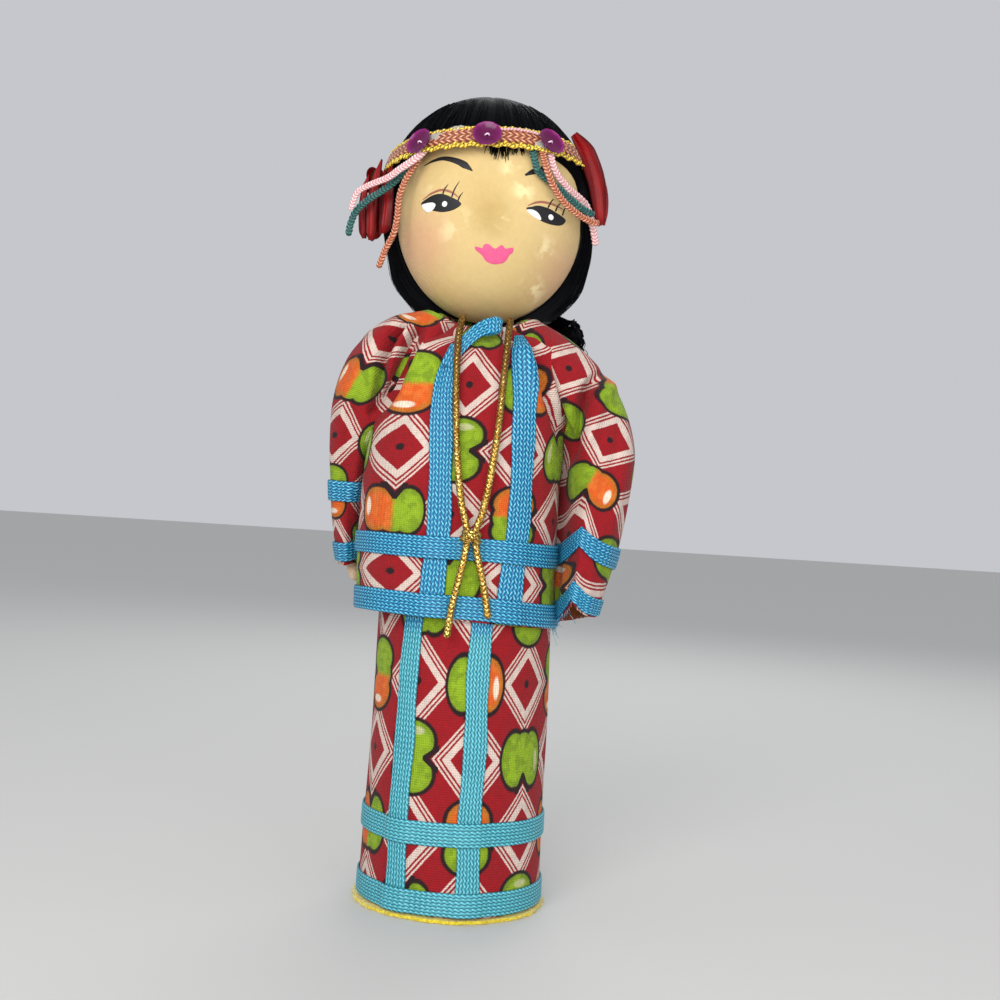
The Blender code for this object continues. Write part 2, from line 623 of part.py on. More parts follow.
def build():
    clear_scene()
    cotton = material("printed cotton", (0.40, 0.03, 0.04), 0.85)
    braid = material("blue braid", (0.02, 0.33, 0.60), 0.45)
    felt = material("yellow felt", (0.72, 0.52, 0.03), 0.95)
    skin = material("tan cloth", (0.72, 0.50, 0.30), 0.60)
    black = material("black hair", (0.008, 0.008, 0.012), 0.40)
    trim = material("woven trim", (0.60, 0.22, 0.10), 0.50)
    purple = material("purple sequin", (0.22, 0.005, 0.20), 0.25)
    gold = material("gold cord", (0.60, 0.36, 0.06), 0.35, 0.8)
    red = material("red satin", (0.42, 0.01, 0.01), 0.40)
    cords = {
        "pink": material("pink cord", (0.75, 0.42, 0.45), 0.5),
        "teal": material("teal cord", (0.01, 0.12, 0.12), 0.5),
        "copper": material("copper cord", (0.50, 0.17, 0.08), 0.5),
    }
    make_base_and_skirt(cotton, braid, felt)
    head_room = ellipsoid("head_room", Vector((0.0, 0.0, HEAD_CENTRE)),
                          (HEAD_HALF_WIDTH + GAP, HEAD_HALF_DEPTH + GAP, HEAD_HALF_HEIGHT + GAP), None, 24, 14)
    make_jacket(cotton, braid, head_room)
    jacket_room = make_sleeves(cotton, braid, skin)
    hair_form("hair_outside", GAP, -HAIR_DROP, None)
    hair_form("headband_room", 3 * GAP + BAND_THICKNESS + 0.0002, -1.0, None)
    make_head(skin, black, jacket_room)
    make_headband(trim, purple)
    make_head_cords(cords)
    make_flower("right_flower", -74.0, RIGHT_FLOWER_HEIGHT, 3.0, red)
    make_flower("left_flower", 82.0, LEFT_FLOWER_HEIGHT, -15.0, red)
    make_gold_cord(gold)
    make_neck_ribbon(braid, jacket_room)


build()
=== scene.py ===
import math

import bpy
import numpy as np
from mathutils import Matrix, Vector


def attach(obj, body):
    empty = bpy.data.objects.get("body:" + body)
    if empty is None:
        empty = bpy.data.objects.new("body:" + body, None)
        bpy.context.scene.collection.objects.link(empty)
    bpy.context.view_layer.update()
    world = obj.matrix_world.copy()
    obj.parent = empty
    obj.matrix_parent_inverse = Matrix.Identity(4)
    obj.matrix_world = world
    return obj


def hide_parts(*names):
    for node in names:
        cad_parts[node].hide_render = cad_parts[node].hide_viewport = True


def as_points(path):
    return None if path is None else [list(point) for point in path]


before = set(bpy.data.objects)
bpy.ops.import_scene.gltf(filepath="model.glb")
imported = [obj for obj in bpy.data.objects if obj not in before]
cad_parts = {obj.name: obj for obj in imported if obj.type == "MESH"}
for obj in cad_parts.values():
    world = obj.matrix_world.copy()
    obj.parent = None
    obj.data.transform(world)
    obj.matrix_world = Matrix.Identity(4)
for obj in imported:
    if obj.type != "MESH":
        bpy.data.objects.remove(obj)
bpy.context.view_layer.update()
print("doll: CAD frame loaded,", len(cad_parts), "nodes")

# All sizes below are in millimetres; meshBook.make turns them into metres.
# Angle 0 is the doll's front (-Y) and 90 degrees is its left (+X).
mm = 0.001
rng = np.random.default_rng(11)

skirt = {"foot": 1.3, "height": 75.0, "baseRadius": 22.6, "topRadius": 21.2,
         "dents": 0.16, "seamLap": 0.35, "cell": (14.4, 17.9), "cellAt": (4.1, 38.0)}
jacket = {"hem": 69.3, "length": 76.5, "halfWidth": 25.0, "halfDepth": 23.0, "shift": -3.0, "square": 2.3,
          "gathers": 8, "gatherDepth": 0.045, "cellHeight": 15.5, "cellFoot": 95.1}
head = {"centre": 171.3, "halfWidth": 23.6, "halfDepth": 23.4, "halfHeight": 26.8, "chin": 28.1}
hair = {"halfWidth": 25.9, "halfHeight": 27.5, "taper": 0.24, "lean": 1.0}
band = {"rise": 10.0, "tilt": 2.4, "roll": 1.4}
braid = {"width": 5.6, "thick": 0.5, "threads": 7, "wave": 1.3, "sway": 0.16}
under, over = 0.3, 1.1          # how far a braid lies above the cloth, and above one that it crosses

# share of the jacket's length, shift, half width and half depth as shares of their own sizes
jacketShape = ((0.00, 0.78, 1.00, 1.00), (0.25, 1.05, 0.985, 1.01), (0.50, 0.95, 0.975, 1.00),
               (0.66, 0.50, 0.965, 0.96), (0.78, 0.20, 0.925, 0.86), (0.87, 0.00, 0.865, 0.75),
               (0.94, 0.00, 0.75, 0.64), (0.98, 0.00, 0.575, 0.53), (1.00, 0.00, 0.44, 0.46))


# Small numpy helpers

def smoothLine(points, count):
    # a Catmull-Rom curve through the points, read at count even steps of its parameter
    points = np.asarray(points, float)
    ends = np.vstack([2 * points[:1] - points[1:2], points, 2 * points[-1:] - points[-2:-1]])
    t = np.linspace(0, len(points) - 1, count)
    k = np.minimum(t.astype(int), len(points) - 2)
    t = (t - k)[:, None]
    a, b, c, d = ends[k], ends[k + 1], ends[k + 2], ends[k + 3]
    return 0.5 * (2 * b + (c - a) * t + (2 * a - 5 * b + 4 * c - d) * t ** 2 + (3 * b - a - 3 * c + d) * t ** 3)


def smoothLoop(points, count):
    # the same curve, closed on itself
    points = np.asarray(points, float)
    t = np.linspace(0, len(points), count, endpoint=False)
    k = t.astype(int)
    t = (t - k)[:, None]
    a, b, c, d = (points[(k + step) % len(points)] for step in (-1, 0, 1, 2))
    return 0.5 * (2 * b + (c - a) * t + (2 * a - 5 * b + 4 * c - d) * t ** 2 + (3 * b - a - 3 * c + d) * t ** 3)


def readTable(table, at):
    # the columns of a table at any keys: a cubic through each pair of rows, with slopes from their neighbours
    rows = np.asarray(table, float)
    keys, cols = rows[:, 0], rows[:, 1:]
    at = np.clip(np.asarray(at, float), keys[0], keys[-1])
    k = np.clip(np.searchsorted(keys, at, side="right") - 1, 0, len(keys) - 2)
    before, after = np.maximum(k - 1, 0), np.minimum(k + 2, len(keys) - 1)
    span = (keys[k + 1] - keys[k])[..., None]
    t = (at - keys[k])[..., None] / span
    slopeIn = (cols[k + 1] - cols[before]) / (keys[k + 1] - keys[before])[..., None] * span
    slopeOut = (cols[after] - cols[k]) / (keys[after] - keys[k])[..., None] * span
    found = ((2 * t ** 3 - 3 * t ** 2 + 1) * cols[k] + (t ** 3 - 2 * t ** 2 + t) * slopeIn
             + (3 * t ** 2 - 2 * t ** 3) * cols[k + 1] + (t ** 3 - t ** 2) * slopeOut)
    return np.moveaxis(found, -1, 0)


def ease(value, low, high):
    # 0 below low, 1 above high, and a smooth step between them
    t = np.clip((np.asarray(value, float) - low) / (high - low), 0, 1)
    return t * t * (3 - 2 * t)


def circle(count):
    return np.linspace(0, 2 * np.pi, count, endpoint=False)


def turnFrom(angle, start):
    # how far an angle lies from another, between -pi and pi
    return np.angle(np.exp(1j * (angle - start)))


def unit(vectors):
    return vectors / np.maximum(np.linalg.norm(vectors, axis=-1, keepdims=True), 1e-9)


def stack(x, y, z):
    return np.stack(np.broadcast_arrays(x, y, z), -1)


def flatMap(u, v):
    return np.stack(np.broadcast_arrays(u, v), -1)


def normalOf(surface, a, t, stepA=2e-3, stepT=0.05):
    # the outward direction, from the cross product of the surface's two slopes
    return unit(np.cross(surface(a + stepA, t) - surface(a - stepA, t),
                         surface(a, t + stepT) - surface(a, t - stepT)))


def besideLine(points, line):
    # each point's distance from a line of points in the same plane, and how far along that line it lies
    line = np.asarray(line, float)
    start, run = line[:-1], line[1:] - line[:-1]
    offset = points[..., None, :] - start
    along = np.clip((offset * run).sum(-1) / (run * run).sum(-1), 0, 1)
    distance = np.linalg.norm(offset - along[..., None] * run, axis=-1)
    nearest = distance.argmin(-1)[..., None]
    share = (nearest + np.take_along_axis(along, nearest, -1)) / len(run)
    return np.take_along_axis(distance, nearest, -1)[..., 0], share[..., 0]


class meshBook:
    # collects grids of points and makes them one mesh; every closed grid is turned to face outwards
    def __init__(self):
        self.points, self.faces, self.maps, self.shades, self.used = [], [], [], [], 0

    def grid(self, grid, loopU=False, loopV=False, caps=False, uv=None, shade=None):
        # grid[..., i, j] is a point; a quad joins each four neighbours, and caps close both ends of v
        grid = np.asarray(grid, float)
        grid = grid.reshape(-1, *grid.shape[-3:])
        copies, nu, nv = grid.shape[:3]
        i = np.arange(nu if loopU else nu - 1)[:, None]
        j = np.arange(nv if loopV else nv - 1)[None, :]
        corners = [(i, j), (i + 1, j), (i + 1, j + 1), (i, j + 1)]
        quads = np.stack([(ci % nu) * nv + cj % nv + 0 * i * j for ci, cj in corners], -1).reshape(-1, 4)
        if uv is None:
            uv = flatMap(np.linspace(0, 1, nu + 1)[:, None], np.linspace(0, 1, nv + 1)[None, :])
        uv = np.asarray(uv, float)
        width = uv.shape[1]
        flat = uv.reshape(-1, 2)
        quadMap = np.stack([flat[np.minimum(ci, uv.shape[0] - 1) * width + np.minimum(cj, width - 1) + 0 * i * j]
                            for ci, cj in corners], -2).reshape(-1, 4, 2)
        points = grid.reshape(copies, nu * nv, 3)
        tris, triMap = np.zeros((0, 3), int), np.zeros((0, 3, 2))
        ladder = caps == "ladder"      # a folded ring closes against itself, not to a middle point
        if ladder:
            near = np.arange(nu // 2 - 1)
            far = nu - 1 - near
            rungs = [np.stack([near * nv + j, far * nv + j, (far - 1) * nv + j, (near + 1) * nv + j], -1)
                     for j in (0, nv - 1)]
            rungs[1] = rungs[1][:, ::-1]
            quads = np.vstack([quads, *rungs])
            quadMap = np.concatenate([quadMap, *[np.tile(uv[near, j][:, None], (1, 4, 1)) for j in (0, -1)]])
            caps = False
        if caps:
            low, high = grid[:, :, 0].mean(1)[:, None], grid[:, :, -1].mean(1)[:, None]
            points = np.concatenate([points, low, high], 1)
            ring = np.arange(nu)
            nextOne = (ring + 1) % nu
            bottom = np.stack([nu * nv + 0 * ring, nextOne * nv, ring * nv], -1)
            top = np.stack([nu * nv + 1 + 0 * ring, ring * nv + nv - 1, nextOne * nv + nv - 1], -1)
            tris = np.vstack([bottom, top])
            past = np.minimum(ring + 1, uv.shape[0] - 1)
            lowMap = np.stack([(uv[ring, 0] + uv[past, 0]) / 2, uv[past, 0], uv[ring, 0]], 1)
            highMap = np.stack([(uv[ring, -1] + uv[past, -1]) / 2, uv[ring, -1], uv[past, -1]], 1)
            triMap = np.concatenate([lowMap, highMap])
        each = points.shape[1]
        sample = points[0]
        volume = sum(np.einsum("ij,ij->", sample[f[:, 0]], np.cross(sample[f[:, k]], sample[f[:, k + 1]]))
                     for f in (quads, tris) if len(f) for k in range(1, f.shape[1] - 1))
        if volume < 0:
            quads, quadMap, tris, triMap = quads[:, ::-1], quadMap[:, ::-1], tris[:, ::-1], triMap[:, ::-1]
        start = self.used + np.arange(copies)[:, None, None] * each
        self.points.append(points.reshape(-1, 3))
        self.faces.append((quads[None] + start).reshape(-1, 4))
        self.maps.append(np.tile(quadMap, (copies, 1, 1)))
        if len(tris):
            self.faces.append((tris[None] + start).reshape(-1, 3))
            self.maps.append(np.tile(triMap, (copies, 1, 1)))
        shades = np.zeros(copies * each)
        if shade is not None:
            full = np.zeros((copies, each))
            full[:, :nu * nv] = np.broadcast_to(shade, grid.shape[:3]).reshape(copies, -1)
            if caps:
                full[:, nu * nv] = full[:, 0]
                full[:, nu * nv + 1] = full[:, nv - 1]
            shades = full.reshape(-1)
        self.shades.append(shades)
        self.used += copies * each
        return self

    def tube(self, path, radius, sides=10, threads=None, **shape):
        # a closed tube along each path; with threads, its map runs in mm along it and in threads around
        uv = None
        if threads is not None:
            uv = flatMap(lengthAlong(path)[None, :], np.linspace(0, threads, sides + 1)[:, None])
        return self.grid(tubeGrid(path, radius, sides, **shape), loopU=True, caps=True, uv=uv)

    def make(self, name, finish, nodes=(), slot=None):
        mesh = bpy.data.meshes.new(name)
        points = np.concatenate(self.points) * mm
        sizes = np.concatenate([np.full(len(f), f.shape[1]) for f in self.faces])
        corners = np.concatenate([f.reshape(-1) for f in self.faces])
        mesh.vertices.add(len(points))
        mesh.vertices.foreach_set("co", points.reshape(-1))
        mesh.loops.add(len(corners))
        mesh.loops.foreach_set("vertex_index", corners.astype(np.int32))
        mesh.polygons.add(len(sizes))
        mesh.polygons.foreach_set("loop_start", (np.cumsum(sizes) - sizes).astype(np.int32))
        layer = mesh.uv_layers.new(name="clothUv")
        layer.data.foreach_set("uv", np.concatenate([m.reshape(-1) for m in self.maps]))
        # shade carries painted light per point: painted shade on the cloth's back inside hems and cuffs, painted
        # highlight on the sequins' rims
        shade = mesh.attributes.new("shade", "FLOAT", "POINT")
        shade.data.foreach_set("value", np.concatenate(self.shades).astype(np.float32))
        mesh.update(calc_edges=True)
        mesh.shade_smooth()
        mesh.set_sharp_from_angle(angle=math.radians(60))
        mesh.materials.append(finish)
        obj = bpy.data.objects.new(name, mesh)
        bpy.context.scene.collection.objects.link(obj)
        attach(obj, "root")
        if nodes:
            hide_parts(*nodes)
        print("doll:", name, len(sizes), "faces")
        return obj


def tubeGrid(path, radius, sides=10, flat=1.0, facing=(0.0, -1.0, 0.0), turn=None, ribs=None):
    # a ring carried along each path: offset = radius * (cos(phi) * front * flat + sin(phi) * side)
    path = np.asarray(path, float)
    run = unit(np.gradient(path, axis=-2))
    front = np.broadcast_to(np.asarray(facing, float), run.shape)
    front = unit(front - (front * run).sum(-1, keepdims=True) * run)
    side = np.cross(run, front)
    phi = np.arange(sides) * 2 * np.pi / sides
    reach = np.broadcast_to(np.asarray(radius, float), path.shape[:-1])[..., None, :] + 0 * phi[:, None]
    angle = phi[:, None] + (0 if turn is None else turn[None, :])
    if ribs is not None:
        reach = reach * ribs
    grid = (path[..., None, :, :] + (reach * flat * np.cos(angle))[..., None] * front[..., None, :, :]
            + (reach * np.sin(angle))[..., None] * side[..., None, :, :])
    return grid


def lengthAlong(path):
    return np.concatenate([[0], np.cumsum(np.linalg.norm(np.diff(path, axis=0), axis=1))])


def roundEnds(along, radius, share=0.12):
    # a half ball at each end: radius * sqrt(1 - (1 - gap / radius)^2), and never under a share of it
    gap = np.minimum(along, along[-1] - along)
    return radius * np.sqrt(np.clip(1 - (1 - np.clip(gap / radius, 0, 1)) ** 2, share ** 2, 1))


# Material helpers

class shaderValue:
    # a node's output that can be reckoned with: each operator adds a Math node
    def __init__(self, desk, socket):
        self.desk, self.socket = desk, socket

    def __add__(self, other):
        return self.desk.calc("ADD", self, other)

    def __sub__(self, other):
        return self.desk.calc("SUBTRACT", self, other)

    def __rsub__(self, other):
        return self.desk.calc("SUBTRACT", other, self)

    def __mul__(self, other):
        return self.desk.calc("MULTIPLY", self, other)

    def __truediv__(self, other):
        return self.desk.calc("DIVIDE", self, other)

    def __abs__(self):
        return self.desk.calc("ABSOLUTE", self)

    __radd__, __rmul__ = __add__, __mul__


class nodeDesk:
    # lays out a Principled material's nodes; a number or a colour is set on a socket, a value is linked to it
    def __init__(self, name, **sockets):
        self.made = bpy.data.materials.new(name)
        self.made.use_nodes = True
        self.tree = self.made.node_tree
        self.shader = self.tree.nodes["Principled BSDF"]
        self.finish(**sockets)

    def wire(self, value, socket):
        if isinstance(value, shaderValue):
            self.tree.links.new(value.socket, socket)
        elif isinstance(value, tuple) and len(value) == 3 and socket.type == "RGBA":
            socket.default_value = (*value, 1.0)
        else:
            socket.default_value = value

    def node(self, kind, inputs=(), output=0, **settings):
        # adds a node, fills its inputs in order or by name, and gives back one of its outputs
        made = self.tree.nodes.new("ShaderNode" + kind)
        for key, value in settings.items():
            setattr(made, key, value)
        for key, value in inputs.items() if isinstance(inputs, dict) else enumerate(inputs):
            self.wire(value, made.inputs[key])
        return shaderValue(self, made.outputs[output])

    def calc(self, operation, *values):
        return self.node("Math", values, operation=operation)

    def zigzag(self, value, top=1.0):
        return self.calc("PINGPONG", value, top)

    def step(self, value, edge, soft):
        return self.node("MapRange", (value, edge - soft, edge + soft, 0.0, 1.0), interpolation_type="SMOOTHSTEP")

    def mix(self, share, low, high, blend="MIX"):
        return self.node("Mix", {0: share, 6: low, 7: high}, 2, data_type="RGBA", blend_type=blend)

    def noise(self, scale, detail=2.0, rough=0.5):
        inputs = {"Vector": self.place(), "Scale": scale, "Detail": detail, "Roughness": rough}
        return self.node("TexNoise", inputs, "Fac")

    def place(self):
        return self.node("TexCoord", output="Object")

    def split(self, vector):
        parts = self.node("SeparateXYZ", (vector,)).socket.node.outputs
        return [shaderValue(self, part) for part in parts]

    def cloth(self):
        # the two coordinates of the piece's own map
        return self.split(self.node("UVMap", uv_map="clothUv"))[:2]

    # the share of painted shade or painted highlight at each point
    def shade(self):
        return self.node("Attribute", output="Fac", attribute_name="shade")

    def distance(self, across, up):
        return self.calc("SQRT", across * across + up * up)

    def bump(self, height, strength, distance, over=None):
        inputs = {"Strength": strength, "Distance": distance, "Height": height}
        return self.node("Bump", inputs if over is None else {**inputs, "Normal": over})

    def finish(self, **sockets):
        for key, value in sockets.items():
            self.wire(value, self.shader.inputs[key.replace("_", " ")])
        return self.made


def rgb(red, green, blue):
    # screen values of 0 to 255 made linear
    value = np.array([red, green, blue]) / 255
    return tuple(float(v) for v in np.where(value < 0.04045, value / 12.92, ((value + 0.055) / 1.055) ** 2.4))


# Camera

view = {"lens": 50.0, "place": (0.00676, -0.3466, 0.0995), "roll": math.atan2(16.5, 265)}
cameraData = bpy.data.cameras.new("photoCamera")
cameraData.lens = view["lens"]
cameraData.sensor_width = 36.0
camera = bpy.data.objects.new("photoCamera", cameraData)
bpy.context.scene.collection.objects.link(camera)
lookAlong = Vector((0, 1, 0)).to_track_quat("-Z", "Y").to_matrix().to_4x4()
camera.matrix_world = Matrix.Translation(view["place"]) @ lookAlong @ Matrix.Rotation(view["roll"], 4, "Z")
bpy.context.scene.camera = camera
bpy.context.scene.view_settings.view_transform = "Standard"
print("doll: camera set")


# Surfaces that the trim lies on

def rounded(a, halfWidth, halfDepth, square):
    # a superellipse: reach = (|sin a|^n + |cos a|^n)^(-1/n)
    reach = (np.abs(np.sin(a)) ** square + np.abs(np.cos(a)) ** square) ** (-1 / square)
    return halfWidth * reach * np.sin(a), -halfDepth * reach * np.cos(a)


def skirtSurface(a, z):
    # a cone that narrows upwards: radius = base + (top - base) * share + slow dents of 2, 3 and 5 waves
    share = (z - skirt["foot"]) / skirt["height"]
    radius = skirt["baseRadius"] + (skirt["topRadius"] - skirt["baseRadius"]) * share
    radius = radius + skirt["dents"] * (np.sin(2 * a + 0.6 + z / 19) + 0.7 * np.sin(3 * a - z / 13)
                                        + 0.5 * np.sin(5 * a + z / 7.3))
    return stack(radius * np.sin(a), -radius * np.cos(a), z + 0 * a)


def jacketCore(a, z):
    # the CAD form: a superellipse whose half width and depth follow the table, with gathers at the neck
    share = np.clip((z - jacket["hem"]) / jacket["length"], 0, 1)
    shift, wide, deep = readTable(jacketShape, share)
    gather = jacket["gatherDepth"] * np.maximum(0, (share - 0.62) / 0.38) * np.cos(jacket["gathers"] * a + 0.7)
    x, y = rounded(a, jacket["halfWidth"] * wide * (1 + gather), jacket["halfDepth"] * deep * (1 + gather),
                   jacket["square"])
    return stack(jacket["shift"] * shift + x, y, z + 0 * a)


# folds on the jacket: line across the front in width and height, half width, depth (+ stands out)
rightCrease = ((-14.1, 141.8), (-16.5, 135.3), (-18.5, 129.6), (-20.5, 124.7), (-23.1, 120.6), (-26.0, 117.3))
leftCrease = ((12.3, 137.9), (14.1, 134.0), (16.0, 129.4), (17.8, 123.9), (20.7, 117.0), (21.5, 110.7))
jacketFolds = (
    (leftCrease, 1.3, -4.6), (rightCrease, 1.3, -4.8),
    (((15.0, 139.5), (17.4, 134.0), (19.2, 128.0), (21.0, 121.0)), 1.6, 1.2),
    (((9.2, 138.5), (11.2, 133.0), (12.8, 127.0), (14.8, 120.0)), 1.6, 0.9),
    (((-11.6, 140.5), (-14.0, 133.5), (-16.0, 127.5), (-17.6, 121.0)), 1.8, 0.9),
    (((-8.0, 141.0), (-11.2, 134.0), (-13.0, 126.0), (-14.2, 117.0), (-14.6, 108.0)), 1.6, 0.7),
    (((-6.0, 139.0), (-8.9, 130.0), (-10.0, 120.0)), 1.1, -0.5),
    (((7.4, 137.0), (8.6, 128.0), (9.4, 119.0)), 1.0, -0.45),
    (((1.5, 137.0), (0.6, 128.0), (0.4, 118.0)), 1.2, -0.45),
    (((4.2, 137.0), (4.0, 129.0), (4.4, 120.0)), 1.1, 0.4),
)


def jacketSurface(a, z):
    # the core moved along its own radius by the sum of neck gathers, amplitude * cos(23 a); soft waves;
    # folds, depth * exp(-(distance from the fold's line / width)^2); and a bulge under the right arm
    core = jacketCore(a, z)
    share = np.clip((z - jacket["hem"]) / jacket["length"], 0, 1)
    out = unit(core * np.array([1.0, 1.0, 0.0]) + np.array([3.0, 0, 0]) * (1 - share)[..., None])
    front = np.clip(np.cos(a), 0, 1) ** 0.5
    push = 0.32 * ease(share, 0.80, 0.97) * np.cos(23 * a + 2.1 * np.sin(3 * a))
    push = push + 0.22 * ease(share, 0.55, 0.8) * np.sin(11 * a + 4 * share)
    for line, width, depth in jacketFolds:
        gap, along = besideLine(core[..., [0, 2]], line)
        fade = np.clip(along / 0.12, 0.25, 1) * np.clip((1 - along) / 0.3, 0, 1)
        push = push + depth * fade * front * np.exp(-(gap / width) ** 2)
    push = push + 0.35 * (1 - ease(share, 0.0, 0.3)) * np.sin(3 * a + 1.2) + 0.12 * np.sin(5 * a - z / 9)
    push = push + 1.6 * np.exp(-((a + 1.35) / 0.45) ** 2) * np.exp(-((z - 103) / 12) ** 2)
    place = core + out * push[..., None]
    # the hem hangs lower at the back and the doll's left, and the neck dips under the chin
    hang = (1 - ease(share, 0.0, 0.5)) * (0.2 + 1.4 * np.cos(a) - 1.2 * np.sin(a))
    dip = ease(share, 0.84, 1.0) * (4.3 * np.clip(np.cos(a), 0, 1) ** 1.4 + 0.8)
    place[..., 2] += hang - dip
    return place


def angleAt(x, z):
    # the angle whose point on the jacket's front stands at x: read back from a table of angles
    angles = np.linspace(-1.3, 1.3, 261)
    found = jacketCore(angles[None, :] + 0 * z[:, None], z[:, None] + 0 * angles[None, :])[..., 0]
    return np.array([np.interp(goal, row, angles) for goal, row in zip(x, found)])


def frontOfJacket(x, z, lift):
    # the chest's smooth front: y = -depth * (1 - across^n)^(1/n) - lift
    share = np.clip((z - jacket["hem"]) / jacket["length"], 0, 1)
    shift, wide, deep = readTable(jacketShape, share)
    across = np.minimum(np.abs(x - jacket["shift"] * shift) / (jacket["halfWidth"] * wide), 0.999)
    return stack(x, -jacket["halfDepth"] * deep * (1 - across ** jacket["square"]) ** (1 / jacket["square"]) - lift, z)


def hairSurface(a, z, lift=0.0):
    # a turned form: reach = half width * outline + lift, where outline is sqrt(1 - share^2) above the
    # middle and 1 - taper * |share|^3.2 below it; the crown leans to the doll's right
    share = (z - head["centre"]) / hair["halfHeight"]
    outline = np.where(share > 0, np.sqrt(np.clip(1 - share ** 2, 0, 1)), 1 - hair["taper"] * np.abs(share) ** 3.2)
    lean = hair["lean"] * np.clip((share + 0.5) / 0.8, 0, 1)
    reach = hair["halfWidth"] * outline + lift
    return stack(reach * np.sin(a) - lean, -reach * np.cos(a), z + 0 * a)


def bandHeight(a):
    # a tilted ring: rise + tilt * cos(a) + roll * sin(a) above the head's middle
    return head["centre"] + band["rise"] + band["tilt"] * np.cos(a) + band["roll"] * np.sin(a)


# each sleeve: share of its run, outer edge x z, inner edge x z, front y, back y, squareness
rightSleeveShape = (
    (0.00, -14.0, 145.2, -5.0, 140.5, -10.5, 8.5, 2.2), (0.10, -21.8, 143.0, -6.0, 136.0, -13.4, 10.5, 2.4),
    (0.22, -28.4, 138.6, -8.5, 129.0, -15.0, 11.5, 2.6), (0.34, -33.4, 131.0, -13.5, 123.5, -14.6, 12.5, 2.6),
    (0.46, -36.3, 121.5, -19.5, 117.5, -11.5, 13.5, 2.5), (0.58, -36.8, 111.5, -24.3, 110.5, -7.5, 14.5, 2.4),
    (0.70, -36.4, 102.0, -26.8, 101.8, -3.0, 15.5, 2.3), (0.84, -35.4, 91.5, -28.2, 92.0, 1.0, 16.2, 2.2),
    (1.00, -33.4, 80.6, -28.6, 81.4, 3.2, 16.6, 2.2))
leftSleeveShape = (
    (0.00, 13.0, 144.6, 4.0, 139.5, -10.0, 8.0, 2.2), (0.10, 21.5, 140.0, 5.5, 133.5, -13.0, 9.5, 2.4),
    (0.22, 29.6, 132.9, 13.0, 125.5, -14.4, 10.5, 2.6), (0.34, 35.8, 124.6, 19.0, 118.0, -14.4, 10.5, 2.5),
    (0.46, 39.2, 114.5, 22.4, 110.0, -14.8, 9.5, 2.3), (0.58, 38.8, 104.5, 23.2, 102.0, -15.4, 8.5, 2.2),
    (0.70, 37.2, 95.0, 23.3, 94.3, -15.8, 7.5, 2.1), (0.84, 34.8, 84.6, 23.3, 83.6, -15.6, 6.5, 2.0),
    (1.00, 32.0, 74.2, 22.9, 71.0, -15.0, 5.5, 2.0))
sleeveFolds = {
    "right": (
        (rightCrease, 1.3, -4.6),
        (((-17.7, 142.3), (-21.3, 137.4), (-23.4, 131.7), (-23.7, 126.2), (-24.3, 121.3), (-26.4, 117.2)), 1.2, -4.2),
        (((-16.0, 142.5), (-19.0, 136.5), (-21.2, 130.6), (-22.2, 125.0)), 1.2, 1.3),
        (((-19.0, 143.0), (-26.0, 136.0), (-30.5, 127.0)), 1.5, 0.7),
        (((-29.5, 139.0), (-31.0, 132.0), (-33.0, 124.0)), 1.0, -0.5),
        (((-30.0, 121.0), (-31.8, 112.0), (-32.4, 100.0), (-31.8, 90.0)), 1.3, -0.7),
        (((-27.6, 112.0), (-29.4, 104.0), (-30.2, 96.0)), 1.0, 0.5)),
    "left": (
        (leftCrease, 1.3, -4.4),
        (((29.4, 131.5), (26.3, 127.5), (23.9, 120.3), (23.1, 114.5), (22.5, 108.0)), 1.3, -4.6),
        (((33.0, 130.5), (29.8, 126.0), (27.8, 118.5), (26.6, 109.0)), 1.8, 1.6),
        (((17.0, 137.0), (19.6, 130.0), (20.6, 123.0)), 1.6, 0.6),
        (((34.5, 120.0), (33.6, 111.0), (32.0, 103.0)), 1.6, -0.8),
        (((36.5, 112.0), (35.6, 102.0), (34.0, 93.0)), 1.2, 0.5)),
}
# how far each ring's front is lifted, and the angle and height of the pinched ridge on its front
sleeveRidge = {
    "right": ((0.0, 0.0, 0.0), (0.6, 0.0, 0.0), (1.0, -0.6, 0.5)),
    "left": ((0.0, 0.0, 0.0), (0.45, 1.0, 0.2), (0.62, 4.0, 1.2), (0.8, 6.5, 2.0), (1.0, 7.0, 2.2)),
}
ridgeAngle = {"right": 0.0, "left": -0.48}
leftTuck = 4.8


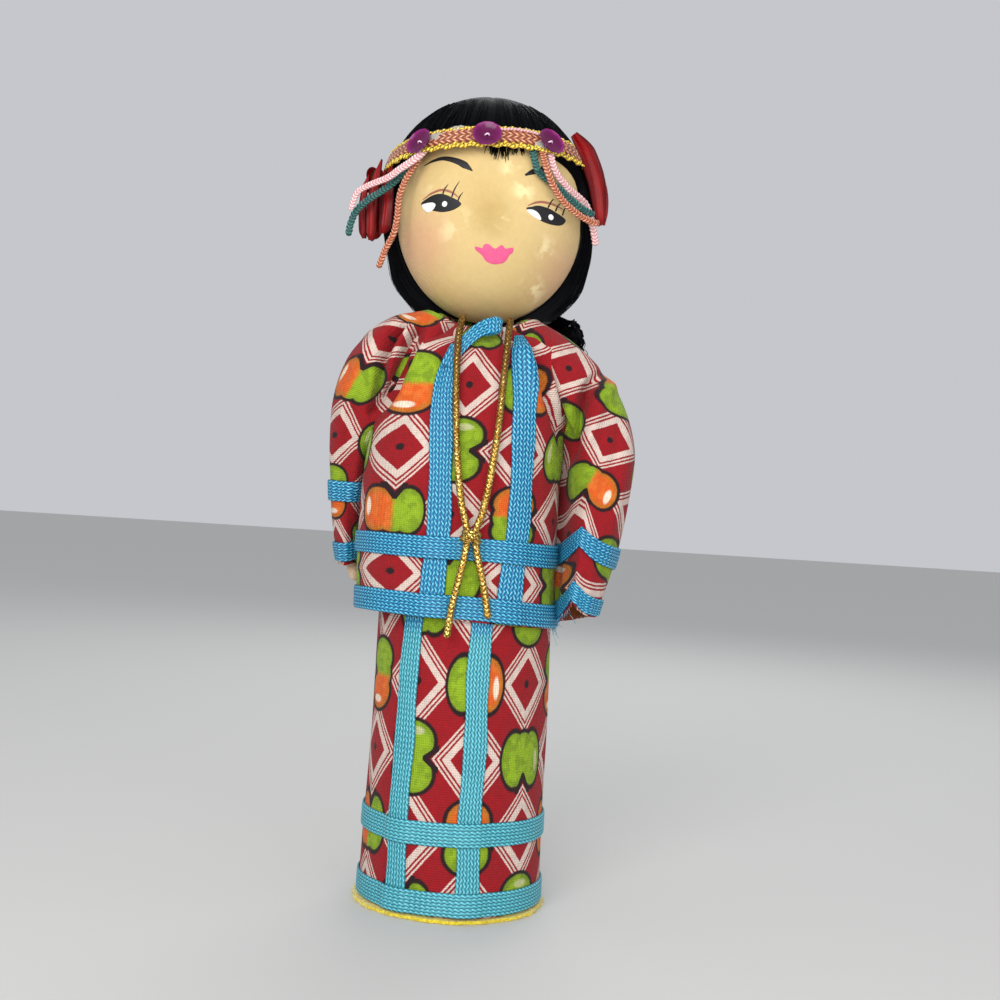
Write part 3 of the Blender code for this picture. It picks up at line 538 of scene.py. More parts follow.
def sleeveSurface(side):
    table = rightSleeveShape if side == "right" else leftSleeveShape
    sign = -1 if side == "right" else 1

    def surface(a, t):
        # superellipses between an outer and an inner edge line: middle + half width * reach; the front is
        # lifted by lift * (exp(-|a| / 0.8) - 0.35) and pinched by ridge * exp(-(a / 0.35)^2), and each fold
        # pushes it along its own radius by depth * exp(-(distance / width)^2)
        outX, outZ, inX, inZ, frontY, backY, square = readTable(table, t)
        lift, ridge = readTable(sleeveRidge[side], t)
        wide, deep = rounded(a, 1.0, 1.0, square)
        wide = wide * sign
        x = (outX + inX) / 2 + (outX - inX) / 2 * wide
        z = (outZ + inZ) / 2 + (outZ - inZ) / 2 * wide
        y = (frontY + backY) / 2 + (backY - frontY) / 2 * deep
        near = turnFrom(a, ridgeAngle[side])
        z = z + lift * (np.exp(-np.abs(near) / 0.8) - 0.35)
        y = y - ridge * np.exp(-(near / 0.35) ** 2)
        if side == "left":      # the back tucks against the torso: tuck * exp(-((a + 130 degrees) / 0.44)^2)
            x = x - leftTuck * ease(t, 0.34, 0.5) * np.exp(-(turnFrom(a, math.radians(-130)) / 0.44) ** 2)
        place = stack(x, y, z)
        out = unit(place - stack((outX + inX) / 2, (frontY + backY) / 2, (outZ + inZ) / 2))
        front = ease(np.cos(a), -0.2, 0.5)
        push = 0.14 * np.sin(5 * a + 9 * t) + 0.10 * np.sin(9 * a - 14 * t)
        for line, width, depth in sleeveFolds[side]:
            gap, along = besideLine(place[..., [0, 2]], line)
            fade = np.clip(along / 0.15, 0.2, 1) * np.clip((1 - along) / 0.25, 0, 1)
            push = push + depth * fade * front * np.exp(-(gap / width) ** 2)
        return place + out * push[..., None]

    return surface


# Cords

goldCord = {"diameter": 1.6, "sides": 16, "pitch": 2.1, "weave": 0.13, "steps": 420}
# points on each cord: x, share of the jacket's length, lift off the chest
goldRoutes = {
    "right": ((-4.6, 0.961, 3.4), (-5.3, 0.902, 3.6), (-5.3, 0.810, 3.0), (-4.9, 0.693, 2.2), (-3.9, 0.536, 2.4),
              (-2.2, 0.386, 2.7), (-0.4, 0.294, 3.0), (-0.6, 0.222, 3.0), (-1.8, 0.137, 2.7), (-2.9, 0.059, 2.7),
              (-3.6, -0.033, 2.7)),
    "left": ((6.6, 0.961, 2.4), (6.4, 0.915, 2.6), (6.0, 0.810, 2.4), (5.4, 0.627, 2.2), (4.4, 0.484, 2.4),
             (3.0, 0.359, 2.7), (1.6, 0.294, 3.0), (2.2, 0.229, 3.0), (3.8, 0.150, 2.7), (4.8, 0.092, 2.7),
             (5.7, 0.033, 2.7)),
}


def goldBraidFinish():
    # strands slant both ways with painted shade in the grooves between them, painted glints are scattered as
    # highlights, and the upper part is tarnished
    desk = nodeDesk("gold braided cord", Metallic=0.85)
    along, around = desk.cloth()
    strand = desk.zigzag(along * 0.95 + desk.zigzag(around, 0.25) * 4.0, 0.5)
    paintedGlint = desk.step(desk.noise(2600.0), 0.56, 0.07)
    old = desk.step(desk.split(desk.place())[2], 0.118, 0.016) * 0.75
    dull = desk.mix(desk.noise(90.0, 3.0), rgb(104, 68, 20), rgb(196, 142, 44))
    # painted shade: dark brown in the grooves between the strands
    colour = desk.mix(desk.step(strand, 0.12, 0.1), rgb(70, 44, 14), desk.mix(old, dull, rgb(112, 74, 30)))
    # painted highlight: pale gold glints scattered over the cord
    colour = desk.mix(paintedGlint * (1.0 - old), colour, rgb(250, 224, 130))
    return desk.finish(Base_Color=colour, Roughness=0.42 - paintedGlint * 0.2, Normal=desk.bump(strand, 0.5, 0.0003))


goldFinish = goldBraidFinish()


def makeGoldCords():
    # a plaited tube: radius * (1 + weave * (max(|sin(1.5 phi + turn)|, |sin(1.5 phi - turn)|) - 0.6)),
    # where turn = 2 pi * length / pitch
    phi = circle(goldCord["sides"])[:, None]
    made = []
    for side, places in goldRoutes.items():
        x, share, lift = np.asarray(places, float).T
        path = smoothLine(frontOfJacket(x, jacket["hem"] + jacket["length"] * share, lift), goldCord["steps"])
        along = lengthAlong(path)
        turn = 2 * np.pi * along[None, :] / goldCord["pitch"]
        weave = np.maximum(np.abs(np.sin(1.5 * phi + turn)), np.abs(np.sin(1.5 * phi - turn)))
        cord = meshBook().tube(path, roundEnds(along, goldCord["diameter"] / 2), goldCord["sides"], 1,
                               ribs=1 + goldCord["weave"] * (weave - 0.6)).make(
            "goldCord" + side.title(), goldFinish, ("gold_cord_" + side,), "gold_cord")
        made.append((cord, path, along[-1]))
    return made


goldKnotSizes = {"x": 0.6, "share": 0.277, "turns": 2.3, "halfWidth": 2.15, "halfDepth": 1.55, "height": 2.0,
                 "strand": 0.56}


def makeGoldKnot():
    # the cord wound round both halves: x = half width * sin(turn), y = -half depth * cos(turn), z rises
    # with the turn; and one strand across them
    size = goldKnotSizes
    middle = frontOfJacket(np.array(size["x"]), np.array(jacket["hem"] + size["share"] * jacket["length"]), 3.0)
    t = np.linspace(0, 1, 150)
    turn = 2 * np.pi * (size["turns"] * t - 0.2)
    coil = stack(size["halfWidth"] * np.sin(turn) * (1 - 0.25 * np.abs(2 * t - 1)),
                 -size["halfDepth"] * np.cos(turn), size["height"] * (t - 0.5) + 0.5 * np.sin(turn + 0.5)) + middle
    cross = smoothLine(middle + np.array([(-1.9, -0.2, 0.9), (-1.2, -1.6, 1.3), (0.3, -2.2, 0.1), (1.6, -1.6, -1.2),
                                          (2.0, -0.2, -0.8)]), 60)
    book = meshBook()
    for path in (coil, cross):
        book.tube(path, roundEnds(lengthAlong(path), size["strand"]), 12, 1, facing=(0.05, -0.2, 1.0))
    return book.make("goldCordKnot", goldFinish, ("gold_cord_knot",), "gold_cord")


goldHalves = makeGoldCords()
goldKnot = makeGoldKnot()
for index, (cord, path, length) in enumerate(goldHalves):
    path[0] * mm
    length * mm
    path * mm
    [goldKnot] if index == 0 else []
print("doll: gold cords laid, mm long:", [round(float(half[2]), 1) for half in goldHalves])


# Printed cotton

printColours = {"red": rgb(146, 20, 28), "cream": rgb(210, 190, 178), "green": rgb(138, 168, 34),
                "olive": rgb(94, 120, 26), "orange": rgb(212, 92, 30), "paleOrange": rgb(224, 124, 54),
                "outline": rgb(40, 22, 25), "highlight": rgb(232, 214, 192)}
printSizes = {"cellWidth": 14.4, "dotHeight": 15.5, "dot": 0.85, "lobe": (3.7, 5.1)}


def printedCotton():
    # the map is in print cells: diamonds sit where column + row is even and fruit where it is odd.
    # diamond = 2 * max(zigzag(x + y), zigzag(x - y)) is 0 at a diamond's middle and 2 at a fruit's.
    desk = nodeDesk("printed cotton", Specular_IOR_Level=0.2, Sheen_Weight=0.05)
    calc, step, mix, zigzag, inks = desk.calc, desk.step, desk.mix, desk.zigzag, printColours
    x, y = desk.cloth()
    wander = (desk.noise(1500.0, 1.0) - 0.5) * 0.05
    diamond = calc("MAXIMUM", zigzag(x + y), zigzag(x - y)) * 2.0 + wander
    cream = step(diamond, 0.72, 0.018)
    for edge, sign in ((1.0, -1.0), (1.085, 1.0), (1.165, -1.0), (1.25, 1.0), (1.33, -1.0)):
        cream = cream + step(diamond, edge, 0.018) * sign
    colour = mix(cream, inks["red"], inks["cream"])

    def nearestEven(column, row):
        # the nearest cell whose column and row add up to an even number
        plus, minus = (calc("ROUND", both * 0.5) for both in (column + row, column - row))
        return plus + minus, plus - minus

    # the dark dot in each diamond, in mm from its middle
    dotX, dotY = nearestEven(x, y)
    dot = desk.distance((x - dotX) * printSizes["cellWidth"], (y - dotY) * printSizes["dotHeight"])
    colour = mix(step(dot + wander * 9.0, printSizes["dot"], 0.22), inks["outline"], colour)
    # the fruit: mm from the nearest odd cell's middle, turned by quarter turns; even columns are all green
    cellX, cellY = nearestEven(x + 1.0, y)
    cellX = cellX - 1.0
    fruitX, fruitY = (x - cellX) * printSizes["cellWidth"], (y - cellY) * printSizes["cellWidth"]
    plain = calc("COMPARE", zigzag(cellX), 0.0, 0.5)
    column, row = zigzag((cellX + 1.0) * 0.5), zigzag(cellY * 0.5)
    twoToneTurn = 2.0 - column + (column * row * 2.0 + row)
    greenTurn = zigzag(cellX * 0.5) * (cellX * 0.5) + 1.0 + zigzag((cellY - 1.0) * 0.5)
    angle = calc("ROUND", twoToneTurn * (1.0 - plain) + greenTurn * plain) * (math.pi / 2)
    cosine, sine = calc("COSINE", angle), calc("SINE", angle)
    across, up = fruitX * cosine + fruitY * sine, fruitY * cosine - fruitX * sine

    def oval(middleX, middleY, halfX, halfY):
        return desk.distance((across - middleX) / halfX, (up - middleY) / halfY)

    wide, tall = printSizes["lobe"]
    lobes = calc("MINIMUM", calc("MINIMUM", oval(3.1, 0.0, wide, tall), oval(-3.1, 0.0, wide, tall)),
                 oval(0.0, 1.0, 3.6, 4.1)) + wander
    mottle = step(desk.noise(420.0, 3.0), 0.54, 0.05)
    isOrange = step(across + wander * 20.0, 0.2, 0.7) * (1.0 - plain)
    fruit = mix(isOrange, mix(mottle * 0.45, inks["green"], inks["olive"]),
                mix(mottle * 0.4, inks["orange"], inks["paleOrange"]))
    fruit = mix(step(lobes, 0.80, 0.10) * 0.35, fruit, inks["olive"])
    glow = 1.0 - step(oval(5.0, -0.6, 0.75, 2.1), 1.0, 0.25)
    fruit = mix(glow * (isOrange * 0.6 + 0.4), fruit, inks["highlight"])
    # the stem: a dark V below the two lobes
    foot = -3.0 - up
    stem = calc("LESS_THAN", abs(abs(across) - foot * 0.62), 0.62)
    stem = stem * (calc("GREATER_THAN", foot, -0.4) * calc("LESS_THAN", foot, 3.5))
    colour = mix(step(lobes, 1.20, 0.05), inks["outline"], colour)
    colour = mix(1.0 - step(lobes, 1.0, 0.05), colour, fruit)
    colour = mix(stem, colour, inks["outline"])
    # plain weave, worn by light and dark threads; shade 1 is the cloth's back, painted dark brown as the shade inside
    # the hem and the cuffs
    threads = calc("SINE", x * (28.0 * 2 * math.pi)) * 0.7 + calc("SINE", y * (31.0 * 2 * math.pi))
    slub = desk.noise(700.0)
    colour = mix(1.0, colour, threads * 0.055 + (slub * 0.4 + 0.78), "MULTIPLY")
    # painted shade: the cloth's back inside the hem and cuffs turns dark brown
    colour = mix(desk.shade(), colour, mix(slub, rgb(96, 44, 20), rgb(150, 84, 44)))
    relief = desk.bump(desk.noise(260.0, 3.0), 0.25, 0.0005, desk.bump(threads, 0.5, 0.00012))
    return desk.finish(Base_Color=colour, Roughness=slub * 0.2 + 0.72, Normal=relief)


cotton = printedCotton()


def cellMap(u, v, piece, shift=(0, 0)):
    # print cells from mm along and up the cloth
    return flatMap((u - piece["cellAt"][0]) / piece["cell"][0] + shift[0],
                   (v - piece["cellAt"][1]) / piece["cell"][1] + shift[1])


def makeSkirt():
    # the skirt's surface with a lapped seam up the back: radius + lap * (1 - (a - pi) / 0.4) past the seam
    a = circle(320) + np.pi
    z = np.concatenate([[1.3, 1.3], np.linspace(1.5, 76.0, 150), [76.2, 76.3]])
    shrink = np.concatenate([[0.55, 0.985], np.ones(150), [0.97, 0.6]])
    grid = skirtSurface(a[:, None], z[None, :])
    past = a[:, None] - np.pi
    lap = skirt["seamLap"] * (1 - ease(past, 0.28, 0.45))
    pucker = 0.07 * np.sin(z[None, :] * 2 * np.pi / 3.1) * np.exp(-((past - 0.1) / 0.12) ** 2)
    radial = stack(np.sin(a), -np.cos(a), 0)[:, None, :]
    grid = grid + radial * (lap + pucker)[..., None]
    grid[..., :2] *= shrink[None, :, None]
    wholeTurn = np.linspace(-np.pi, np.pi, 321)
    uv = cellMap(wholeTurn[:, None] * 22.0, z[None, :], skirt, (5, 1))
    return meshBook().grid(grid, loopU=True, caps=True, uv=uv).make("skirtCloth", cotton, ("skirt",), "printed_cotton")


# the hem's rows: inset and rise; the collar's rows: share of the top's size and rise
jacketHem = ((22.0, 7.6), (6.0, 7.4), (1.35, 5.5), (1.1, 2.0), (0.95, 0.35), (0.55, -0.05), (0.2, -0.02))
jacketCollar = ((0.96, 0.2), (0.90, 0.0), (0.80, -1.2), (0.55, -2.4), (0.25, -2.8))


def makeJacket():
    # outer cloth, a rolled hem, an inner wall up to the skirt's top, and a collar that turns in under the head
    a = circle(380) + np.pi
    z = np.linspace(69.35, 145.7, 236)
    outer = jacketSurface(a[:, None], z[None, :])
    foot = outer[:, :1]
    middle = np.array([-2.3, 0, 0])
    toward = unit((foot - middle) * np.array([1.0, 1.0, 0.0]))
    hemRows = [foot - toward * inset + np.array([0, 0, rise]) for inset, rise in jacketHem]
    crown = outer[:, -1:]
    neckRows = [crown * np.array([keep, keep, 1.0]) + np.array([0, 0, rise]) for keep, rise in jacketCollar]
    grid = np.concatenate(hemRows + [outer] + neckRows, 1)
    # the hem's inner rows get the painted shade of the cloth's back
    inside = np.zeros(grid.shape[:2])
    inside[:, :5] = 1.0
    height = np.concatenate([np.full(len(jacketHem), jacket["hem"]), z, np.full(len(jacketCollar), 146.0)])
    # the cloth lies flat across the chest, so the print's cells follow a table of angles
    wholeTurn = np.degrees(np.linspace(-np.pi, np.pi, 381))
    cells, = readTable(((-180, -5.02), (-62, -1.46), (-36, -1.0), (-20, -0.592), (-9, -0.2), (-3, 0.0),
                        (32.5, 1.0), (66, 2.0), (180, 5.39)), wholeTurn)
    uv = flatMap(cells[:, None], (height[None, :] - jacket["cellFoot"]) / jacket["cellHeight"])
    piece = meshBook().grid(grid, loopU=True, caps=True, uv=uv, shade=inside)
    return piece.make("jacketCloth", cotton, ("jacket_body",), "printed_cotton")


def flatAngle(a):
    # the cloth lies nearly flat across the front: sin |a| to 0.87 radians, then straight on
    size = np.abs(a)
    return np.sign(a) * np.where(size < 0.87, np.sin(np.minimum(size, 0.87)), np.sin(0.87) + (size - 0.87) * 0.78)


def sleeveCells(side, a, t):
    # the left sleeve is cut across the grain, so its print is turned by 20 degrees; cells from mm on the ring
    outX, outZ, inX, inZ = readTable(rightSleeveShape if side == "right" else leftSleeveShape, t)[:4]
    across = flatAngle(a)
    if side == "right":
        return flatMap((across * np.maximum((inX - outX) / 2, 6.0) + 4.2) / 12.0 - 1, (0.38 - t) / 0.18)
    x = (outX + inX) / 2 + (outX - inX) / 2 * across - 32.2
    z = (outZ + inZ) / 2 + (outZ - inZ) / 2 * across - 115.4
    x = x + 2.4 * ease(z, 2.0, 12.0)      # the cloth bunches up towards the shoulder
    turn = math.radians(20)
    return flatMap((x * math.cos(turn) - z * math.sin(turn)) / 13.8 + 1,
                   (x * math.sin(turn) + z * math.cos(turn)) / 12.6 + 3)


def makeSleeve(side, node):
    # the sleeve's surface to its cuff, a turned edge, and an inner wall that closes 9 mm up
    surface = sleeveSurface(side)
    a = circle(240) + np.pi
    t = np.linspace(0.0, 1.0, 230)
    outer = surface(a[:, None], t[None, :])
    inT = np.array([0.999, 0.985, 0.95, 0.91, 0.87])
    normal = normalOf(surface, a[:, None], np.clip(inT, 0, 0.985)[None, :], stepT=-0.004)
    inner = surface(a[:, None], inT[None, :]) - normal * np.array([0.45, 0.75, 0.8, 0.9, 1.6])[None, :, None]
    grid = np.concatenate([outer, inner], 1)
    # the cuff's inner wall gets the painted shade of the cloth's back
    inside = np.concatenate([np.zeros(len(t)), [0.6, 1, 1, 1, 1]])[None, :] + 0 * a[:, None]
    wholeTurn = np.linspace(-np.pi, np.pi, 241)
    uv = sleeveCells(side, wholeTurn[:, None], np.concatenate([t, inT])[None, :])
    return meshBook().grid(grid, loopU=True, caps=True, uv=uv, shade=inside).make(
        side + "SleeveCloth", cotton, (node,), "printed_cotton")


makeSkirt()
makeJacket()
makeSleeve("right", "right_sleeve")
makeSleeve("left", "left_sleeve")


# Blue braid

def braidFinish():
    # along is in mm and across in threads: each thread is a bright wavy cord with painted highlights in dashes, and the
    # gaps between threads are painted dark as shade
    desk = nodeDesk("blue woven braid", Specular_IOR_Level=0.4)
    along, across = desk.cloth()
    sway = desk.calc("SINE", along * (2 * math.pi / braid["wave"])) * braid["sway"]
    body = desk.zigzag(across + sway, 0.5)
    highlightDash = desk.zigzag(along / braid["wave"] + desk.noise(420.0) * 0.5 + desk.zigzag(across) * 0.85, 0.5)
    tint = desk.noise(160.0, 3.0)
    fresh = desk.step(desk.split(desk.place())[2], 0.068, 0.002)   # the braid on the skirt has faded to green
    base = desk.mix(fresh, desk.mix(tint, rgb(44, 140, 152), rgb(86, 176, 186)),
                    desk.mix(tint, rgb(0, 104, 152), rgb(20, 142, 184)))
    # painted shade: the gaps between threads turn dark blue
    colour = desk.mix(desk.step(body, 0.15, 0.12), desk.mix(fresh, rgb(20, 88, 104), rgb(0, 58, 100)), base)
    # painted highlight: pale dashes along the threads' crests
    colour = desk.mix(desk.step(highlightDash, 0.33, 0.10) * desk.step(body, 0.24, 0.12), colour, rgb(120, 208, 228))
    return desk.finish(Base_Color=colour, Roughness=tint * 0.25 + 0.34,
                       Normal=desk.bump(body * (highlightDash + 0.6), 0.6, 0.0003))


blueBraid = braidFinish()


def braidGrid(surface, a, t, halfA, halfT, lift, closed=False, stepT=0.05, thick=None, threads=None):
    # a tape carried along the line (a, t) of a surface and widened by halfA or halfT on each side:
    # height = lift + thick * (0.62 + 0.38 * |sin(pi * thread)|^0.7), and less at the edges
    thick = braid["thick"] if thick is None else thick
    threads = braid["threads"] if threads is None else threads
    top = np.linspace(-1, 1, threads * 4 + 1)
    across = np.concatenate([top, np.linspace(1, -1, 6)])[:, None]
    isTop = np.concatenate([np.ones(len(top)), np.zeros(6)])[:, None]
    wideA, wideT = a[None, :] + across * halfA[None, :], t[None, :] + across * halfT[None, :]
    middle = surface(a, t)
    if closed:
        middle = np.concatenate([middle, middle[:1]])
    along = lengthAlong(middle)
    thread = (across + 1) / 2 * threads + braid["sway"] * np.sin(2 * np.pi * along[None, :len(a)] / braid["wave"])
    cord = np.abs(np.sin(np.pi * thread)) ** 0.7
    height = lift + isTop * thick * (0.62 + 0.38 * cord) * (1 - 0.45 * np.abs(across) ** 10)
    grid = surface(wideA, wideT) + normalOf(surface, wideA, wideT, stepT=stepT) * height[..., None]
    uvAlong = along if closed else np.concatenate([along, along[-1:]])
    acrossRow = np.concatenate([across[:, 0], across[:1, 0]])
    return grid, flatMap(uvAlong[None, :], (acrossRow[:, None] + 1) / 2 * threads)


def makeHoop(name, surface, low, node, crossings, waver):
    # lift = 0.18 + (over - 0.25) * exp(-(angle from an upright braid / 0.165)^4)
    a = circle(620)
    bump = sum(np.exp(-(turnFrom(a, math.radians(at)) / 0.165) ** 4) for at in crossings)
    lift = 0.18 + (over - 0.25) * np.clip(bump, 0, 1)[None, :]
    middle = low + braid["width"] / 2 + waver * np.sin(a * 2 + 0.4) + 0.5 * waver * np.sin(a * 5)
    grid, uv = braidGrid(surface, a, middle, 0 * a, np.full_like(a, braid["width"] / 2), lift, True)
    return meshBook().grid(grid, loopU=True, loopV=True, uv=uv).make(name, blueBraid, (node,), "blue_braid")


def makeUpright(name, surface, places, heights, radius, width, node, taper=0.0):
    # places: an angle for a straight braid, or rows of height and x for one that wanders over the chest
    t = np.linspace(0, 1, int(abs(heights[1] - heights[0]) / 0.26))
    z = heights[0] + (heights[1] - heights[0]) * t
    if isinstance(places, float):
        a = np.radians(places) + 0.008 * np.sin(z / 5.2) + 0 * z
    else:
        x, = readTable(places, z)
        a = angleAt(x, z)
    half = width / 2 / radius * (1 - taper * ease(t, 0.86, 1.0)) * (1 + 0.04 * np.sin(z / 2.9))
    grid, uv = braidGrid(surface, a, z, half, 0 * z, under)
    return meshBook().grid(grid, loopU=True, caps=True, uv=uv).make(name, blueBraid, (node,), "blue_braid")


def makeSleeveBand(name, side, low, high, node):
    a = circle(260)
    middle, half = np.full_like(a, (low + high) / 2), np.full_like(a, (high - low) / 2)
    grid, uv = braidGrid(sleeveSurface(side), a, middle, 0 * a, half, under, True, -0.004)
    return meshBook().grid(grid, loopU=True, loopV=True, uv=uv).make(name, blueBraid, (node,), "blue_braid")


# hoops: name, surface, lower edge, node, angles of the braids that they cross, waver
hoops = (("skirtHemBraid", skirtSurface, 1.6, "skirt_hem_band", (-33.5, 11.5), 0.12),
         ("skirtUpperBraid", skirtSurface, 17.8, "skirt_upper_band", (-33.5, 11.5), 0.15),
         ("jacketHemBraid", jacketSurface, 69.5, "jacket_hem_band", (-12.5, 28.5), 0.2),
         ("jacketUpperBraid", jacketSurface, 83.8, "jacket_upper_band", (-11.5, 31.5), 0.2))
# uprights: name, surface, angle or rows of height and x, heights, radius, width, node, taper
uprights = (("skirtRibbonRight", skirtSurface, -33.5, (1.6, 72.0), 22.6, 5.6, "skirt_ribbon_right"),
            ("skirtRibbonLeft", skirtSurface, 11.5, (1.6, 72.0), 22.6, 5.6, "skirt_ribbon_left"),
            ("jacketRibbonRight", jacketSurface,
             ((69.6, -7.8), (81.6, -7.4), (93.3, -7.0), (108.7, -7.6), (124.3, -8.2), (131.0, -7.2), (136.0, -5.9)),
             (69.6, 136.0), 23.2, 5.2, "jacket_ribbon_right", 0.3),
            ("jacketRibbonLeft", jacketSurface,
             ((69.6, 9.9), (82.6, 10.7), (94.4, 11.5), (109.9, 11.4), (125.4, 10.8), (133.4, 10.0), (142.0, 8.8)),
             (69.6, 142.0), 21.5, 5.2, "jacket_ribbon_left", 0.45))
# bands: name, side, where each starts and ends along the sleeve, node
sleeveBands = (("rightCuffBraid", "right", 0.915, 0.985, "right_cuff_band"),
               ("rightSleeveBraid", "right", 0.700, 0.768, "right_sleeve_band"),
               ("leftCuffBraid", "left", 0.932, 0.994, "left_cuff_band"),
               ("leftSleeveBraid", "left", 0.752, 0.820, "left_sleeve_band"))
for first in (0, 2):      # the skirt's braids, then the jacket's
    for row in hoops[first:first + 2]:
        makeHoop(*row)
    for row in uprights[first:first + 2]:
        makeUpright(*row)
for row in sleeveBands:
    makeSleeveBand(*row)

# the neck ribbon: the knot's place (x, z, lift) and half sizes, then the tail's points and half width
neckKnot = {"place": (2.2, 140.6, 1.0), "halfWidth": 2.7, "halfDepth": 1.5, "halfHeight": 2.2, "ribs": 0.14}
neckTail = {"places": ((1.6, 140.6, 1.6), (-0.8, 139.2, 2.2), (-2.8, 137.2, 2.2), (-4.6, 135.2, 1.9),
                       (-6.2, 133.0, 1.4), (-7.4, 130.0, 1.1)), "half": 1.9}


def makeNeckRibbon():
    # a folded knot of the same braid under the chin, and its tail down to the doll's right
    centre = frontOfJacket(*np.array(neckKnot["place"]))

    def knotSurface(a, t):
        # a pillow: a superellipse * (1 - |t|^3)^0.5, pinched by 0.14 * exp(-(t / 0.35)^2) at mid height
        pinch = 1 - 0.14 * np.exp(-(t / 0.35) ** 2)
        x, y = rounded(a, neckKnot["halfWidth"] * pinch, neckKnot["halfDepth"] * pinch, 2.5)
        fall = np.sqrt(np.clip(1 - np.abs(t) ** 3, 0.02, 1))
        return stack(x * fall, y * fall, neckKnot["halfHeight"] * t + 0.3 * np.sin(a)) + centre

    a, t = circle(120)[:, None], np.linspace(-0.98, 0.98, 60)[None, :]
    relief = neckKnot["ribs"] * np.abs(np.sin(a * 9)) * (1 - t ** 6)
    grid = knotSurface(a, t) + normalOf(knotSurface, a, t, stepT=0.01) * relief[..., None]
    book = meshBook().grid(grid, loopU=True, caps=True, uv=flatMap(t * 2.9, np.linspace(0, 18, 121)[:, None]))
    line = smoothLine(frontOfJacket(*np.array(neckTail["places"]).T), 70)
    along = lengthAlong(line)
    side = unit(np.cross(unit(np.gradient(line, axis=0)), np.array([0.15, -1.0, 0.1])))
    out = np.cross(side, unit(np.gradient(line, axis=0)))
    across = np.concatenate([np.linspace(-1, 1, 17), np.linspace(1, -1, 5)])[:, None]
    isTop = (np.arange(22) < 17)[:, None]
    half = neckTail["half"] - 0.4 * np.sin(np.pi * along / along[-1])
    thick = isTop * (0.35 + 0.16 * np.abs(np.sin(np.pi * (across + 1) * 2.5)))
    grid = line[None] + across[..., None] * (half[:, None] * side)[None] + thick[..., None] * out[None]
    acrossRow = np.concatenate([across[:, 0], across[:1, 0]])
    book.grid(grid, loopU=True, caps=True, uv=flatMap(along[None, :], (acrossRow[:, None] + 1) * 2.5))
    return book.make("neckRibbon", blueBraid, ("neck_ribbon",), "blue_braid")


makeNeckRibbon()

fray = {"atCuff": 34, "atHem": 12, "radius": 0.07, "seed": 7}


def makeFray():
    # loose braid threads at the left cuff's lower corner and the jacket hem beside it: a straight hanging
    # line + wave * sin(3 to 7 times s)
    rng = np.random.default_rng(fray["seed"])
    cuff = sleeveSurface("left")(rng.uniform(-2.3, -0.5, fray["atCuff"]), rng.uniform(0.985, 0.998, fray["atCuff"]))
    hem = jacketSurface(np.radians(rng.uniform(62, 80, fray["atHem"])), np.full(fray["atHem"], 69.9))
    start = np.concatenate([cuff, hem])[:, None, :]
    s = np.linspace(0, 1, 12)[None, :, None]
    count = len(start)
    aim = rng.normal(0, 0.45, (count, 1, 3)) + np.array([0.0, -0.1, -1.0])
    wave = rng.normal(0, 0.35, (count, 1, 3)) * np.sin(s * rng.uniform(3, 7, (count, 1, 1)))
    path = start + np.array([0, 0, 0.5]) + aim * s * rng.uniform(1.0, 3.0, (count, 1, 1)) + wave * s
    grid = tubeGrid(path, fray["radius"] * (1 - 0.4 * s[..., 0]), 5, facing=(0.3, 0.9, 0.1))
    uv = flatMap(s[0, :, 0][None, :] * 2, np.linspace(0, 1, 6)[:, None])
    book = meshBook().grid(grid, loopU=True, caps=True, uv=uv)
    return book.make("cuffFray", blueBraid, (), "blue_braid")


makeFray()
print("doll: braid sewn on")


# Felt base and hand

def feltFinish():
    desk = nodeDesk("yellow felt", Sheen_Weight=0.5, Roughness=0.95)
    fibre = desk.noise(1100.0, 4.0, 0.7)
    colour = desk.mix(desk.step(fibre, 0.5, 0.12), rgb(196, 170, 22), rgb(236, 216, 52))
    return desk.finish(Base_Color=colour, Normal=desk.bump(fibre, 0.7, 0.0005))


felt = {"radius": 23.35, "bulge": 0.9, "fibres": 420, "fibreRoot": 23.3, "fibreRadius": 0.035}


def makeFelt():
    # a disc with a worn edge: radius + 0.18 sin(7 a) + 0.12 sin(19 a) + 0.1 sin(43 a) + a bulge in front;
    # loose fibres stand out of its rim
    a = circle(360)
    edge = felt["radius"] + 0.18 * np.sin(7 * a + 1) + 0.12 * np.sin(19 * a) + 0.10 * np.sin(43 * a + 2)
    edge = edge + felt["bulge"] * np.exp(-(turnFrom(a, -1.2) / 0.35) ** 2)
    radius = edge[:, None] * np.array([0.3, 0.97, 0.995, 1.0, 0.995, 0.97, 0.3])[None, :]
    z = np.array([0.0, 0.0, 0.12, 0.5, 0.88, 1.0, 1.0])
    grid = stack(radius * np.sin(a[:, None]), -radius * np.cos(a[:, None]), z[None, :])
    book = meshBook().grid(grid, loopU=True, caps=True)
    count = felt["fibres"]
    around = rng.uniform(0, 2 * np.pi, count)
    root = stack(felt["fibreRoot"] * np.sin(around), -felt["fibreRoot"] * np.cos(around),
                 rng.uniform(0.15, 0.85, count))
    away = unit(stack(np.sin(around), -np.cos(around), rng.normal(0, 0.25, count)) + rng.normal(0, 0.35, (count, 3)))
    s = np.linspace(0, 1, 6)[None, :, None]
    reach = rng.uniform(0.5, 1.3, (count, 1, 1))
    path = root[:, None] + away[:, None] * s * reach + rng.normal(0, 0.12, (count, 1, 3)) * s ** 2
    path[..., 2] = np.clip(path[..., 2], 0.06, 1.4)
    book.tube(path, felt["fibreRadius"] * (1 - 0.6 * s[0, :, 0]), 4, facing=(0.1, 0.1, 1.0))
    return book.make("feltBase", feltFinish(), ("felt_base",), "yellow_felt")


makeFelt()


